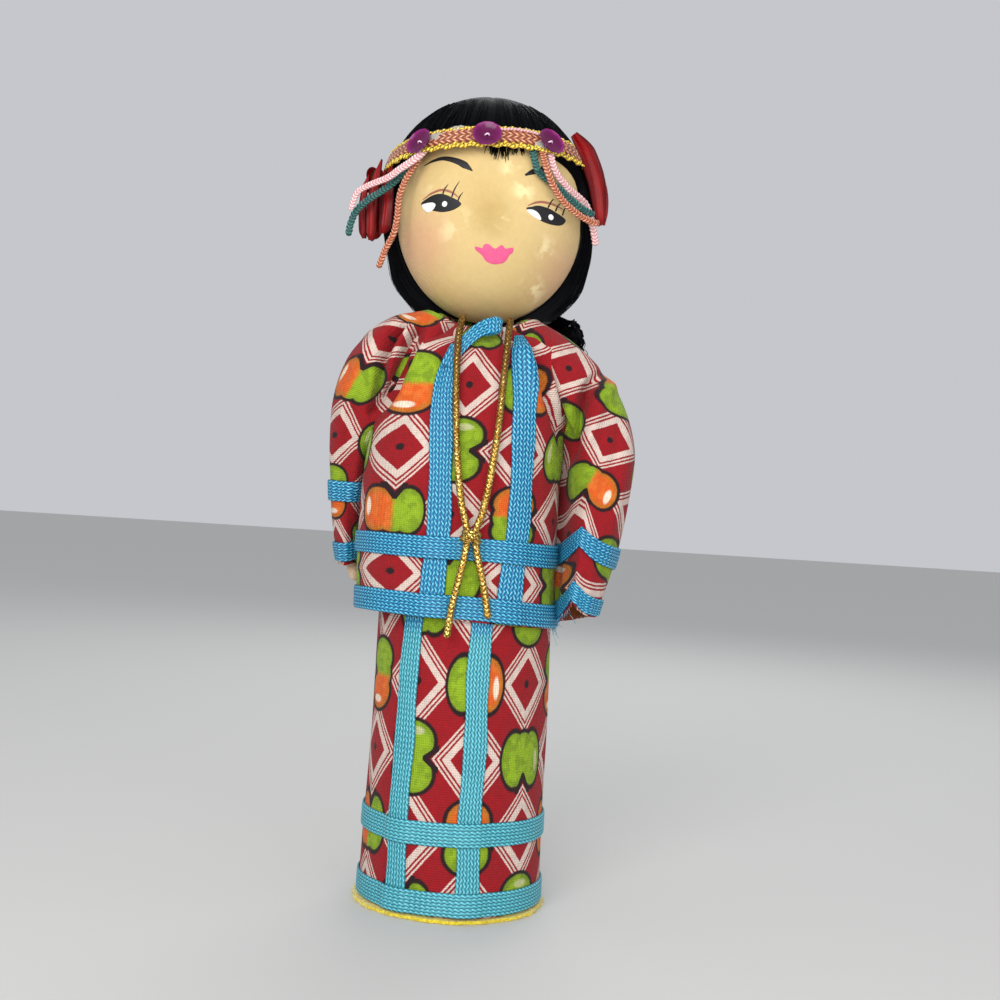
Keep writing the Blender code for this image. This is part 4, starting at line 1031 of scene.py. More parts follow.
def tanFinish(name, colourA, colourB, spots=()):
    # satin: a fine diagonal twill and soft stains; a spot is its place, size, strength and colour
    desk = nodeDesk(name, Sheen_Weight=0.1, Specular_IOR_Level=0.2)
    x, y, z = desk.split(desk.place())
    colour = desk.mix(desk.noise(70.0, 3.0, 0.6), colourA, colourB)
    twill = desk.calc("SINE", (x + y * 0.4 + z) * (2 * math.pi / 0.00042))
    grain = desk.noise(900.0)
    for spotX, spotZ, size, strength, tint in spots:
        far = desk.distance((x - spotX * mm) * (1 / (size * mm)),
                            (z - (head["centre"] + spotZ) * mm) * (1 / (size * mm)))
        stain = desk.noise(260.0, 4.0)
        patch = desk.step(stain, 0.5, 0.06) if size < 3 else stain * 1.2 + 0.4     # small spots have hard edges
        colour = desk.mix((1.0 - desk.step(far, 0.75, 0.75)) * strength * patch, colour, tint)
    colour = desk.mix(1.0, colour, twill * 0.035 + (grain * 0.14 + 0.93), "MULTIPLY")
    relief = desk.bump(desk.noise(120.0, 3.0), 0.12, 0.0008, desk.bump(twill, 0.25, 0.00006))
    return desk.finish(Base_Color=colour, Roughness=grain * 0.2 + 0.47, Normal=relief)


hand = {"line": ((-31.0, 10.6, 87.0), (-30.6, 9.8, 83.0), (-29.8, 9.2, 79.6), (-28.9, 8.8, 76.6)),
        "radius": 1.7, "taper": 0.35, "flat": 1.25}


def makeHand():
    # a flat mitten tip with a seam: ring radius * (1 - taper * s^3) * (1 - 0.1 * exp(-((a - 1.57) / 0.25)^2))
    line = smoothLine(hand["line"], 40)
    along = lengthAlong(line)
    size = roundEnds(along, hand["radius"]) * (1 - hand["taper"] * (along / along[-1]) ** 3)
    seam = 1 - 0.10 * np.exp(-((circle(28)[:, None] - 1.57) / 0.25) ** 2)
    return meshBook().tube(line, size, 28, flat=hand["flat"], ribs=seam).make(
        "handTip", tanFinish("hand cloth", rgb(196, 168, 140), rgb(216, 190, 160)), ("right_hand",), "tan_cloth")


makeHand()


# Head and face

faceSpots = (
    (-16.0, -11.4, 8.0, 0.5, rgb(214, 150, 128)), (19.6, -17.0, 8.0, 0.45, rgb(214, 150, 128)),
    (0.7, -6.0, 5.0, 0.6, rgb(172, 142, 80)), (-1.9, -0.6, 6.0, 0.4, rgb(182, 150, 88)),
    (3.1, -6.7, 1.7, 0.9, rgb(242, 226, 168)), (-8.8, -9.5, 2.9, 0.45, rgb(242, 226, 174)),
    (-6.0, -6.5, 2.4, 0.35, rgb(242, 226, 174)), (7.7, 0.6, 2.6, 0.8, rgb(242, 226, 170)),
    (11.7, -20.5, 2.9, 0.8, rgb(244, 228, 176)), (13.9, -11.4, 2.8, 0.6, rgb(242, 226, 176)),
    (-13.4, 1.6, 2.9, 0.35, rgb(240, 222, 168)), (4.5, 5.5, 2.6, 0.7, rgb(240, 222, 168)))


def onHead(x, z, lift=0.0):
    # x, z from the head's middle to a point on its front, moved out along the ellipsoid's normal
    tall = np.where(np.asarray(z) > 0, head["halfHeight"], head["chin"])
    inside = 1 - (x / head["halfWidth"]) ** 2 - (z / tall) ** 2
    y = -head["halfDepth"] * np.sqrt(np.clip(inside, 0.0005, 1))
    normal = unit(stack(x / head["halfWidth"] ** 2, y / head["halfDepth"] ** 2, z / tall ** 2))
    return stack(x, y, z + head["centre"]) + normal * np.asarray(lift, float)[..., None]


def makeHead():
    # an ellipsoid with cloth pulled tight: reach * (1 - 0.012 * (0.5 + 0.5 * cos(17 a))) near the neck
    a = circle(200)[:, None]
    t = np.linspace(-0.5 * np.pi + 0.02, 0.5 * np.pi - 0.02, 130)[None, :]
    pleat = 1 - 0.012 * ease(-np.sin(t), 0.72, 0.98) * (0.5 + 0.5 * np.cos(17 * a + np.sin(4 * a)))
    grid = stack(head["halfWidth"] * pleat * np.cos(t) * np.sin(a), -head["halfDepth"] * pleat * np.cos(t) * np.cos(a),
                 head["centre"] + np.where(t > 0, head["halfHeight"], head["chin"]) * np.sin(t) + 0 * a)
    skin = tanFinish("tan satin", rgb(204, 176, 116), rgb(216, 189, 134), faceSpots)
    return meshBook().grid(grid, loopU=True, caps=True).make("headCloth", skin, ("head",), "tan_cloth")


headPiece = makeHead()


def putPaint(points, lift):
    return onHead(*points.T, np.full(len(points), lift))


def paintBlob(book, outline, proud=0.07, count=80):
    # rings that shrink to the outline's middle: under the cloth, at its edge, then a low dome
    edge = smoothLoop(outline, count)
    middle = edge.mean(0)
    rings = ((0.15, -0.10), (0.9, -0.10), (1.0, 0.0), (0.985, proud * 0.75), (0.93, proud), (0.6, proud), (0.15, proud))
    rows = [putPaint(middle + (edge - middle) * keep, lift) for keep, lift in rings]
    book.grid(np.stack(rows, 1), loopU=True, caps=True)


def paintStroke(book, line, widths, proud=0.06, count=60):
    # a flat bead along a line: half width from the list, thin at both ends
    line = smoothLine(line, count)
    run = unit(np.gradient(line, axis=0))
    side = np.stack([-run[:, 1], run[:, 0]], -1)
    half = np.interp(np.linspace(0, 1, count), np.linspace(0, 1, len(widths)), widths)[:, None]
    section = ((-1, -0.1), (-1, 0.0), (-0.75, proud), (0, proud * 1.15), (0.75, proud), (1, 0.0), (1, -0.1))
    rows = [putPaint(line + side * half * across, lift) for across, lift in section]
    book.grid(np.stack(rows, 0), loopU=True, caps=True)


faceShapes = {
    "eyes": ([(-16.3, -2.9), (-14.9, -1.7), (-13.2, -1.0), (-11.4, -0.9), (-9.3, -1.6), (-6.6, -3.2), (-7.7, -4.4),
              (-9.4, -5.0), (-11.4, -5.1), (-14.0, -4.4)],
             [(8.7, -3.4), (10.0, -2.7), (11.6, -2.2), (14.0, -2.4), (16.3, -3.1), (18.2, -3.9), (17.9, -5.0),
              (16.5, -5.8), (14.0, -5.9), (11.6, -5.3)]),
    "whites": ([(-16.1, -3.2), (-14.8, -2.8), (-13.4, -2.8), (-12.7, -3.4), (-13.3, -4.5), (-14.7, -4.9)],
               [(8.8, -3.7), (10.3, -3.4), (11.7, -4.1), (12.3, -5.4), (10.6, -5.0)]),
    "dots": ((-10.5, -3.3), (14.6, -4.3)),
    "lashes": (((-11.1, -0.9), (-10.6, 0.4), (-9.9, 1.3)), ((-8.9, -1.7), (-8.3, 0.2), (-7.3, 1.9)),
               ((-7.4, -2.7), (-7.0, -1.6), (-6.3, -0.7)), ((13.8, -2.3), (14.3, -1.0), (15.0, 0.1)),
               ((15.6, -2.7), (16.1, -1.4), (16.8, -0.4)), ((17.4, -3.2), (17.7, -1.9), (18.1, -1.0))),
    "lids": (((-15.9, -1.9), (-14.0, -0.7), (-11.4, 0.0), (-8.9, -0.7), (-7.0, -2.1)),
             ((9.0, -2.6), (10.9, -1.6), (12.7, -1.2), (15.2, -1.3), (17.4, -1.8))),
    "brows": (((-16.2, 6.4), (-14.1, 7.3), (-11.5, 7.7), (-8.4, 6.9), (-6.3, 5.8), (-4.4, 4.4)),
              ((7.9, 4.4), (9.5, 5.4), (11.1, 6.2), (12.4, 6.9))),
    "lips": [(-2.8, -12.8), (-2.4, -12.8), (-1.8, -13.1), (-1.4, -13.4), (-1.0, -13.1), (-0.8, -12.4), (-0.1, -12.0),
             (0.6, -12.2), (1.3, -12.7), (2.0, -13.0), (2.6, -12.6), (3.3, -12.1), (3.8, -12.2), (4.2, -12.7),
             (4.9, -13.2), (5.3, -13.1), (5.6, -12.5), (6.1, -12.4), (6.3, -12.8), (6.1, -13.5), (5.4, -14.1),
             (4.9, -15.1), (4.2, -15.8), (3.2, -16.2), (2.0, -16.4), (0.8, -16.2), (-0.2, -15.7), (-0.8, -14.9),
             (-1.6, -14.2), (-2.4, -13.7), (-2.8, -13.2)],
}


def paintFinish(name, light, dark, roughness):
    desk = nodeDesk(name)
    streak = desk.noise(900.0, 3.0)
    return desk.finish(Base_Color=desk.mix(streak, dark, light), Roughness=streak * 0.15 + roughness,
                       Normal=desk.bump(streak, 0.2, 0.0001))


def makeFace():
    dark, white, brown, pink = meshBook(), meshBook(), meshBook(), meshBook()
    for outline in faceShapes["eyes"]:
        paintBlob(dark, outline)
    for line in faceShapes["lashes"]:
        paintStroke(dark, line, (0.20, 0.17, 0.06), count=16)
    paintStroke(dark, faceShapes["brows"][0], (0.07, 0.34, 0.52, 0.72, 0.86, 0.12))
    paintStroke(dark, faceShapes["brows"][1], (0.22, 0.62, 0.72, 0.66))
    for outline in faceShapes["whites"]:
        paintBlob(white, outline, 0.13, 48)
    for x, z in faceShapes["dots"]:
        turn = circle(16)
        paintBlob(white, np.stack([x + 0.62 * np.cos(turn), z + 0.66 * np.sin(turn)], 1), 0.14, 32)
    for line in faceShapes["lids"]:
        paintStroke(brown, line, (0.10, 0.26, 0.30, 0.26, 0.08), 0.04)
    paintBlob(pink, faceShapes["lips"], 0.09, 120)
    dark.make("paintedEyesAndBrows", paintFinish("black paint", rgb(22, 22, 26), rgb(8, 8, 11), 0.5), (), "black_hair")
    white.make("paintedEyeWhites", paintFinish("white paint", rgb(250, 248, 244), rgb(230, 228, 224), 0.4), (),
               "tan_cloth")
    brown.make("paintedLids", paintFinish("brown paint", rgb(168, 108, 84), rgb(140, 84, 62), 0.5), (), "tan_cloth")
    pink.make("paintedLips", paintFinish("pink paint", rgb(232, 96, 142), rgb(216, 72, 124), 0.5), (), "pink_cord")


makeFace()
print("doll: head and face made")


# Hair

hairLook = {"strands": 900, "strandRadius": 0.085, "curls": 210, "curlRadius": 0.15, "fringe": 46,
            "fringeRadius": 0.22, "groove": 0.13,
            "tail": ((6.0, 19.2, -21.5), (16.0, 21.6, -24.5), (23.2, 16.0, -26.5), (25.8, 11.9, -33.5))}


def hairFinish():
    desk = nodeDesk("black hair", Specular_IOR_Level=0.06)
    streak = desk.noise(420.0, 3.0)
    return desk.finish(Base_Color=desk.mix(streak, rgb(1, 1, 2), rgb(8, 9, 14)), Roughness=streak * 0.25 + 0.38,
                       Normal=desk.bump(streak, 0.25, 0.0002))


hairBlack = hairFinish()
# the face opening: height from the head's middle and the hair edge's angle on each side
faceOpening = {"right": ((-26.6, 88.0), (-20.0, 90.0), (-14.0, 88.0), (-10.0, 84.0), (-4.0, 72.0), (2.0, 66.0),
                         (8.0, 55.0), (11.5, 26.0), (12.5, 6.0), (13.4, 0.0), (29.0, 0.0)),
               "left": ((-26.6, 84.0), (-20.0, 90.0), (-14.0, 88.0), (-10.0, 82.0), (-4.0, 72.0), (2.0, 66.0),
                        (8.0, 56.0), (11.5, 26.0), (12.5, 6.0), (13.4, 0.0), (29.0, 0.0))}


def hairPlace(u, v, lift=0.0):
    # u runs from the right edge of the face round the back to the left edge, v from the nape to the crown;
    # height = foot + (top - foot) * sin(pi v / 2)^1.25, and the hair turns in at the nape
    foot, top = faceOpening["right"][0][0], 27.45
    height = foot + (top - foot) * np.sin(v * np.pi / 2) ** 1.25
    right, = readTable(faceOpening["right"], height)
    left, = readTable(faceOpening["left"], height)
    a = -np.radians(right) - (2 * np.pi - np.radians(right) - np.radians(left)) * u
    turnedIn = 3.2 * (1 - ease(v, 0.0, 0.16))
    place = hairSurface(a, head["centre"] + height, lift - turnedIn)
    # near the face the hair comes in to the head's own skin: share 0 at the edge, 1 a little way round
    tall = np.where(height > 0, head["halfHeight"], head["chin"])
    skin = head["halfWidth"] * np.sqrt(np.clip(1 - (height / tall) ** 2, 0.02, 1)) + 0.35
    reach = np.linalg.norm(place[..., :2], axis=-1)
    away = ease(np.minimum(u, 1 - u), 0.0, 0.055)
    keep = np.minimum(1.0, (away + (1 - away) * np.minimum(skin / reach, 1.0)))
    keep = np.where(height < 8, keep, 1 + (keep - 1) * np.clip((12 - height) / 4, 0, 1))
    return place * stack(keep, keep, 1.0)


def makeHair():
    # outside: the turned form + groove * (sin(61 turns) + 0.7 sin(97 turns) + 0.6 sin(143 turns)); inside:
    # the head's own size
    u = np.linspace(0, 1, 420)[:, None]
    v = np.linspace(0.0, 0.985, 110)[None, :]
    comb = (np.sin(61 * 2 * np.pi * u + 2.5 * np.sin(9 * v)) + 0.7 * np.sin(97 * 2 * np.pi * u + 3 * v)
            + 0.6 * np.sin(143 * 2 * np.pi * u - 4 * v))
    edge = ease(np.minimum(u, 1 - u), 0.0, 0.03)
    lift = hairLook["groove"] * comb * (0.3 + 0.7 * edge) * (1 - 0.8 * ease(v, 0.7, 0.95)) - 0.5 * (1 - edge) + 0 * v
    outer = hairPlace(u, v, lift - 0.25)
    inner = hairPlace(u, v, -2.2 + 0 * u * v)[::-1]
    grid = np.concatenate([outer, inner], 0)
    meshBook().grid(grid, loopU=True, caps="ladder").make("hairCap", hairBlack, ("hair",), "black_hair")
    # single strands on the surface, from the crown down
    count = hairLook["strands"]
    start = rng.uniform(0.01, 0.99, count)[:, None]
    s = np.linspace(0, 1, 22)[None, :]
    top = rng.uniform(0.45, 0.82, count)[:, None]
    foot = rng.uniform(0.0, 0.35, count)[:, None]
    along = top + (foot - top) * s
    drift = rng.normal(0, 0.010, (count, 1)) * s + 0.003 * np.sin(9 * s + rng.uniform(0, 6, (count, 1)))
    rise = rng.uniform(-0.05, 0.22, (count, 1)) + rng.uniform(0, 0.3, (count, 1)) * s ** 4
    path = hairPlace(np.clip(start + drift, 0.004, 0.996), along, rise)
    book = meshBook().tube(path, hairLook["strandRadius"] * (1 - 0.6 * s ** 3), 4, facing=(0.3, 0.2, 1.0))
    return book.make("hairStrands", hairBlack, (), "black_hair")


def makeCurls():
    # each strand coils about the tail's line, and it keeps to one of nine ringlets: radius 1 to 1.9 mm *
    # (0.4 + 0.6 * sin(pi s)), 2.5 to 4.5 turns
    line = smoothLine(hairLook["tail"], 60)
    line[:, 2] += head["centre"]
    count = hairLook["curls"]
    s = np.linspace(0, 1, 60)[None, :]
    lock = rng.integers(0, 9, count)
    spread = rng.normal(0, 1.7, (9, 1, 3))[lock] + rng.normal(0, 0.22, (count, 1, 3))
    turns = rng.uniform(2.5, 4.5, (9, 1))[lock]
    phase = rng.uniform(0, 6.28, (9, 1))[lock] + rng.normal(0, 0.25, (count, 1))
    size = rng.uniform(1.0, 1.9, (9, 1))[lock] * (0.4 + 0.6 * np.sin(np.pi * np.clip(s * 1.05, 0, 1)))
    size = size * rng.uniform(0.85, 1.15, (count, 1))
    turn = turns * 6.28 * s + phase
    path = (line[None] + spread * (0.6 + 0.4 * s[..., None])
            + stack(size * np.cos(turn), 0.8 * size * np.sin(turn), 0.7 * size * np.sin(turn + phase)))
    book = meshBook().tube(path, hairLook["curlRadius"] * (1 - 0.5 * s ** 2), 5, facing=(0.2, 0.5, 1.0))
    return book.make("curlTail", hairBlack, ("curls",), "black_hair")


def makeFringe():
    # pointed locks that fan out from under the band: their tips follow 9.9 - 2.6 * exp(-((x - 2) / 2.6)^2)
    count = hairLook["fringe"]
    x = np.linspace(-0.8, 6.6, count) + rng.normal(0, 0.2, count)
    tip = 9.9 - 2.6 * np.exp(-((x - 2.0) / 2.6) ** 2) * rng.uniform(0.4, 1.0, count) - rng.uniform(0, 0.8, count)
    s = np.linspace(0, 1, 10)[None, :]
    across = x[:, None] + (rng.normal(0, 0.5, (count, 1)) + 0.14 * (x[:, None] - 3)) * s
    height = 13.0 + (tip[:, None] - 13.0) * s
    path = onHead(across, height, 0.35 - 0.15 * s + 0 * across)
    book = meshBook().tube(path, hairLook["fringeRadius"] * (1 - 0.85 * s ** 1.5), 5)
    return book.make("fringe", hairBlack, (), "black_hair")


makeHair()
makeCurls()
makeFringe()
print("doll: hair combed")


# Headband, sequins, head cords

bandTrim = {"width": 3.2, "loopRise": 1.35, "loopSwing": 1.05, "loopPitch": 3.77, "radius": 24.0}


def bandPlace(a, rise, lift):
    return hairSurface(a, bandHeight(a) + rise, lift)


def trimFinish(name, dark, mid, light, wave=1.5, metallic=0.0):
    # threads with chevrons: along in mm, across in threads; dark is painted shade in the chevrons' grooves, mid the
    # thread's own colour and light a painted highlight on the crests
    desk = nodeDesk(name, Metallic=metallic, Sheen_Weight=0.2)
    along, across = desk.cloth()
    chevron = desk.zigzag(along / wave + desk.zigzag(across) * 0.9, 0.5)
    rib = desk.zigzag(across, 0.5)
    tint = desk.noise(500.0)
    # painted shade: the dark colour in the grooves between the chevrons
    colour = desk.mix(desk.step(chevron, 0.14, 0.1), dark, desk.mix(tint, mid, tuple(0.75 * c for c in mid)))
    # painted highlight: the light colour on the crests of the threads
    colour = desk.mix(desk.step(chevron * (rib + 0.55), 0.33, 0.08), colour, light)
    return desk.finish(Base_Color=colour, Roughness=tint * 0.2 + 0.4,
                       Normal=desk.bump(chevron * (rib + 0.4), 0.6, 0.0003))


def makeHeadband():
    # flat copper braid, and scalloped gold cords along each edge: rise = loop rise + loop swing *
    # |sin(pi * length / pitch)|
    a = circle(560)

    def surface(angle, rise):
        # the hair's own surface at a rise above the band's middle
        return bandPlace(angle, rise, 0.0)

    grid, uv = braidGrid(surface, a, 0 * a, 0 * a, np.full_like(a, bandTrim["width"] / 2), 0.6, True,
                         thick=0.75, threads=4)
    # copper braid: painted shade, its own colour, painted highlight
    copper = trimFinish("copper braid", rgb(88, 38, 18), rgb(172, 88, 54), rgb(232, 178, 138))
    meshBook().grid(grid, loopU=True, loopV=True, uv=uv).make("headbandBraid", copper, ("headband",), "woven_trim")
    # gold loops: painted shade, their own colour, painted highlight
    gold = trimFinish("gold loop edge", rgb(140, 96, 14), rgb(232, 190, 30), rgb(255, 238, 96), 0.9, 0.25)
    book = meshBook()
    around = circle(1400)
    length = around * bandTrim["radius"]
    for edge in (-1, 1):
        for shift in (0.0, 0.5):
            swing = np.abs(np.sin(np.pi * (length / bandTrim["loopPitch"] + shift)))
            path = bandPlace(around, edge * (bandTrim["loopRise"] + bandTrim["loopSwing"] * swing),
                             1.0 + 0.3 * swing * (1 if shift else -0.4))
            thick = (0.24 if shift else 0.42) + 0.05 * np.sin(length * 7)
            grid = tubeGrid(path, thick * (0.8 + 0.35 * swing), 6, facing=(0.0, 0.0, 1.0))
            book.grid(grid, loopU=True, loopV=True, uv=flatMap(length[None, :], np.linspace(0, 2, 7)[:, None]))
    return book.make("headbandGoldLoops", gold, (), "woven_trim")


def sequinFinish():
    desk = nodeDesk("purple sequin", Specular_IOR_Level=0.35)
    cloud = desk.noise(500.0)
    # shade here is a painted highlight: the rim turns a paler purple
    colour = desk.mix(desk.shade(), desk.mix(cloud, rgb(62, 0, 46), rgb(104, 2, 74)), rgb(134, 24, 108))
    return desk.finish(Base_Color=colour, Roughness=cloud * 0.15 + 0.22, Normal=desk.bump(cloud, 0.08, 0.0002))


sequinAngles = {"right": -39.5, "middle": -1.0, "left": 35.5}
# a sequin's profile from its middle over the rim and back: radius, height and how much painted highlight makes the rim
# paler
sequinProfile = ((0.15, 0.30, 0), (0.9, 0.26, 0), (1.5, 0.30, 0), (2.45, 0.62, 0.15), (3.0, 0.98, 0.9),
                 (3.08, 1.05, 1), (3.1, 0.96, 0.9), (2.5, 0.50, 0.2), (1.5, 0.14, 0), (0.9, 0.10, 0), (0.15, 0.12, 0))


def makeSequins():
    # a cup turned about its own axis in 12 facets: reach = profile * (1 - 0.012 * cos(12 turn)); a thread
    # knot holds it
    purple = sequinFinish()
    thread = paintFinish("sequin thread", rgb(244, 226, 236), rgb(214, 180, 200), 0.6)
    radius, height, pale = np.array(sequinProfile).T
    turn = circle(72)
    for side, degrees in sequinAngles.items():
        a = np.radians(degrees)
        centre = bandPlace(np.array(a), 0.0, 1.75)
        across = np.array([math.cos(a), math.sin(a), 0.0])
        up = unit(bandPlace(np.array(a), 1.0, 1.7) - bandPlace(np.array(a), -1.0, 1.7))
        out = np.cross(across, up)
        reach = radius[None, :] * (1 - 0.012 * np.cos(12 * turn)[:, None] * (radius > 2)[None, :]) * 1.09
        grid = (centre + reach[..., None] * (np.cos(turn)[:, None, None] * across + np.sin(turn)[:, None, None] * up)
                + (height - 0.2)[None, :, None] * out)
        # pale: the painted highlight on each ring of the sequin
        meshBook().grid(grid, loopU=True, caps=True, shade=pale[None, :] + 0 * turn[:, None]).make(
            "sequin" + side.title(), purple, ("sequin_" + side,), "purple_sequin")
        line = smoothLine([centre - across * 0.55 - out * 0.1, centre - across * 0.2 + out * 0.42,
                           centre + across * 0.25 + out * 0.40 + up * 0.1, centre + across * 0.5 - out * 0.1], 24)
        meshBook().tube(line, 0.2, 8, facing=up).make("sequinThread" + side.title(), thread, (), "pink_cord")


# head cords: points from the headband to the tip, with heights from the head's middle
headCords = {
    ("pink", "right"): ((-15.4, -18.2, 11.4), (-16.4, -20.0, 8.8), (-18.6, -20.9, 6.4), (-21.6, -19.9, 4.4),
        (-24.5, -18.2, 2.6), (-29.1, -16.0, 1.0), (-31.9, -14.7, -0.7), (-33.3, -14.2, -4.8)),
    ("teal", "right"): ((-18.4, -15.2, 9.6), (-20.0, -16.4, 6.2), (-22.0, -16.6, 3.2), (-24.8, -15.6, 0.8),
        (-29.0, -14.2, -1.9), (-31.8, -12.8, -4.3), (-33.2, -11.9, -7.1), (-33.8, -11.4, -10.5)),
    ("copper", "right"): ((-16.4, -16.8, 10.2), (-17.6, -18.6, 7.0), (-19.0, -18.8, 4.4), (-20.3, -18.9, 1.8),
        (-21.4, -18.5, -1.8), (-21.7, -17.5, -6.1), (-22.4, -16.5, -10.1), (-24.2, -15.0, -13.6),
        (-25.8, -14.0, -18.2)),
    ("teal", "left"): ((8.8, -20.4, 12.6), (9.5, -21.9, 9.6), (10.6, -22.4, 6.0), (11.8, -21.4, 4.8),
        (15.6, -19.5, 2.6), (18.8, -17.5, 0.5), (21.5, -16.0, -1.1), (25.1, -14.0, -2.4)),
    ("copper", "left"): ((11.0, -19.6, 12.6), (11.8, -21.8, 9.4), (13.0, -23.8, 5.4), (14.5, -22.8, 2.3),
        (17.0, -21.0, -0.7), (20.4, -18.8, -3.0), (23.8, -16.6, -4.3), (26.3, -15.0, -4.5)),
    ("pink", "left"): ((13.2, -18.4, 12.4), (13.8, -20.2, 9.2), (15.1, -20.4, 5.8), (18.2, -18.0, 2.9),
        (21.4, -15.0, 1.2), (23.3, -12.4, -0.2), (25.0, -10.2, -4.1), (26.2, -9.0, -8.7)),
}


# cords at least this long, in mm, have their points turned into metres
shortestCord = 30.0
# each cord: painted shade, its own colour, then a painted highlight
cordColours = {"pink": (rgb(190, 120, 124), rgb(232, 182, 182), rgb(250, 232, 230)),
               "teal": (rgb(0, 36, 38), rgb(4, 78, 74), rgb(40, 132, 122)),
               "copper": (rgb(110, 50, 28), rgb(190, 100, 62), rgb(238, 176, 138))}


# old glue on the band: angle in degrees, rise, half width and half height
glueSpots = ((-32.0, 1.2, 2.4, 1.1), (-19.0, 2.6, 1.6, 0.7), (29.5, -0.8, 1.5, 1.1))


def makeBandScraps():
    # a pink strand caught along the band's top between two sequins, and low domes of old glue with a
    # ragged edge: 1 + 0.18 sin(3 turn) + 0.1 sin(7 turn)
    a = np.radians(np.linspace(6.0, 29.0, 60))
    path = bandPlace(a, 1.5 + 0.5 * np.sin(np.linspace(0.3, 2.9, 60)), 1.75)
    pink = trimFinish("pink strand", *cordColours["pink"], 0.8)
    meshBook().tube(path, 0.30, 8, 2).make("bandPinkStrand", pink, (), "pink_cord")
    desk = nodeDesk("old glue", Transmission_Weight=0.35, Specular_IOR_Level=0.4, Roughness=0.35)
    glue = desk.finish(Base_Color=desk.mix(desk.noise(500.0, 3.0), rgb(206, 198, 176), rgb(176, 182, 184)))
    turn = circle(40)[:, None]
    keep = np.array([0.15, 0.6, 0.9, 1.0, 0.9, 0.15])[None, :]
    lift = np.array([1.50, 1.46, 1.34, 1.05, 0.85, 0.8])[None, :]
    book = meshBook()
    for degrees, rise, wide, tall in glueSpots:
        ragged = keep * (1 + 0.18 * np.sin(3 * turn + degrees) + 0.1 * np.sin(7 * turn))
        around = math.radians(degrees) + ragged * wide * np.cos(turn) / bandTrim["radius"]
        book.grid(bandPlace(around, rise + ragged * tall * np.sin(turn), lift), loopU=True, caps=True)
    return book.make("bandGlue", glue, (), "tan_cloth")


makeBandScraps()


def makeHeadCords():
    # tubes whose reach is radius * ribs: two strands twisted round each other, a ribbed tape that narrows
    # to its end, or a flat plait of three
    finishes = {tint: trimFinish(tint + " cord", *colours, 0.8) for tint, colours in cordColours.items()}
    phi = circle(16)[:, None]
    for (tint, side), points in headCords.items():
        path = smoothLine(points, 240)
        path[:, 2] += head["centre"]
        along = lengthAlong(path)
        if (tint, side) == ("copper", "right"):
            radius, flat = roundEnds(along, 0.72), 1.0
            ribs = 0.78 + 0.34 * np.abs(np.cos(phi - np.pi * along[None, :] / 1.05)) ** 0.8
        elif (tint, side) == ("pink", "right"):
            radius, flat = roundEnds(along, 0.95) * (1 - 0.32 * along / along[-1]), 0.6
            ribs = 1 + 0.07 * np.sin(2 * np.pi * along[None, :] / 0.62) + 0 * phi
        else:
            radius, flat = roundEnds(along, 0.82 if tint != "copper" else 0.78), 0.62
            ribs = 1 + 0.10 * np.sin(2 * np.pi * along[None, :] / 1.1 + 2 * np.sin(phi))
        cord = meshBook().tube(path, radius, 16, 4, flat=flat, ribs=ribs).make(
            tint + side.title() + "Cord", finishes[tint], (tint + "_cord_" + side,), tint + "_cord")
        if along[-1] >= shortestCord:
            path[0] * mm
            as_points(path * mm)


makeHeadband()
makeSequins()
makeHeadCords()


# Satin flowers

def satinFinish():
    # across is in mm from the ribbon's middle: fine ribs, and edges painted darker as the shade in the ribbon's folds
    desk = nodeDesk("red satin", Specular_IOR_Level=0.2)
    across = desk.cloth()[1]
    streak = desk.noise(240.0, 3.0)
    rib = desk.calc("SINE", across * (2 * math.pi / 0.35))
    # painted shade: the edges turn nearly black red
    colour = desk.mix(desk.step(abs(across), 1.7, 0.8) * 0.75, desk.mix(streak, rgb(84, 2, 5), rgb(160, 8, 10)),
                      rgb(44, 0, 3))
    return desk.finish(Base_Color=colour, Roughness=streak * 0.2 + 0.30, Normal=desk.bump(rib, 0.15, 0.0001))


redSatin = satinFinish()


# ribbon leaves: centre line x y z, then half width, from foot to tip; then the fold's depth
flowerLeaves = {
    "right": ((((-30.2, -7.6, 161.2), (-30.6, -8.4, 163.0), (-30.8, -8.6, 169.0), (-30.5, -8.4, 174.0),
                (-29.9, -8.0, 176.6)), (0.5, 1.2, 1.3, 1.1, 0.2), 0.6),
              (((-28.4, -9.6, 160.4), (-28.2, -10.6, 162.4), (-28.2, -10.8, 169.0), (-27.7, -10.2, 176.0),
                (-27.0, -9.4, 180.2)), (0.6, 1.6, 1.7, 1.4, 0.2), 0.8),
              (((-25.6, -10.6, 162.2), (-25.4, -11.4, 164.0), (-25.2, -11.4, 169.0), (-25.1, -11.0, 174.0),
                (-24.6, -10.4, 178.8)), (0.6, 1.6, 1.7, 1.4, 0.5), -0.7),
              (((-29.0, -6.0, 161.8), (-28.8, -6.4, 165.0), (-28.4, -6.6, 171.0), (-28.0, -6.4, 177.4)),
               (0.8, 1.7, 1.7, 0.4), 0.5),
              (((-26.4, -7.4, 162.6), (-26.6, -7.8, 167.0), (-26.6, -7.8, 172.0), (-26.2, -7.4, 178.4)),
               (0.8, 1.6, 1.6, 0.4), 0.5)),
    "left": ((((26.9, -6.6, 168.0), (26.6, -7.4, 170.0), (25.9, -8.0, 174.4), (24.6, -8.8, 179.6), (22.2, -9.8, 184.8),
               (19.0, -11.6, 188.6)), (0.7, 1.9, 2.5, 2.9, 2.7, 0.9), 0.9),
             (((28.0, -4.6, 168.6), (28.2, -5.0, 172.0), (27.6, -5.4, 177.0), (25.6, -6.0, 182.4), (22.6, -7.4, 186.4)),
              (0.8, 1.5, 2.0, 1.9, 0.6), -0.8),
             (((25.2, -3.6, 169.4), (25.6, -4.0, 174.0), (24.6, -4.6, 179.0), (22.6, -5.6, 183.6)),
              (0.8, 2.2, 2.4, 0.8), 0.5)),
}


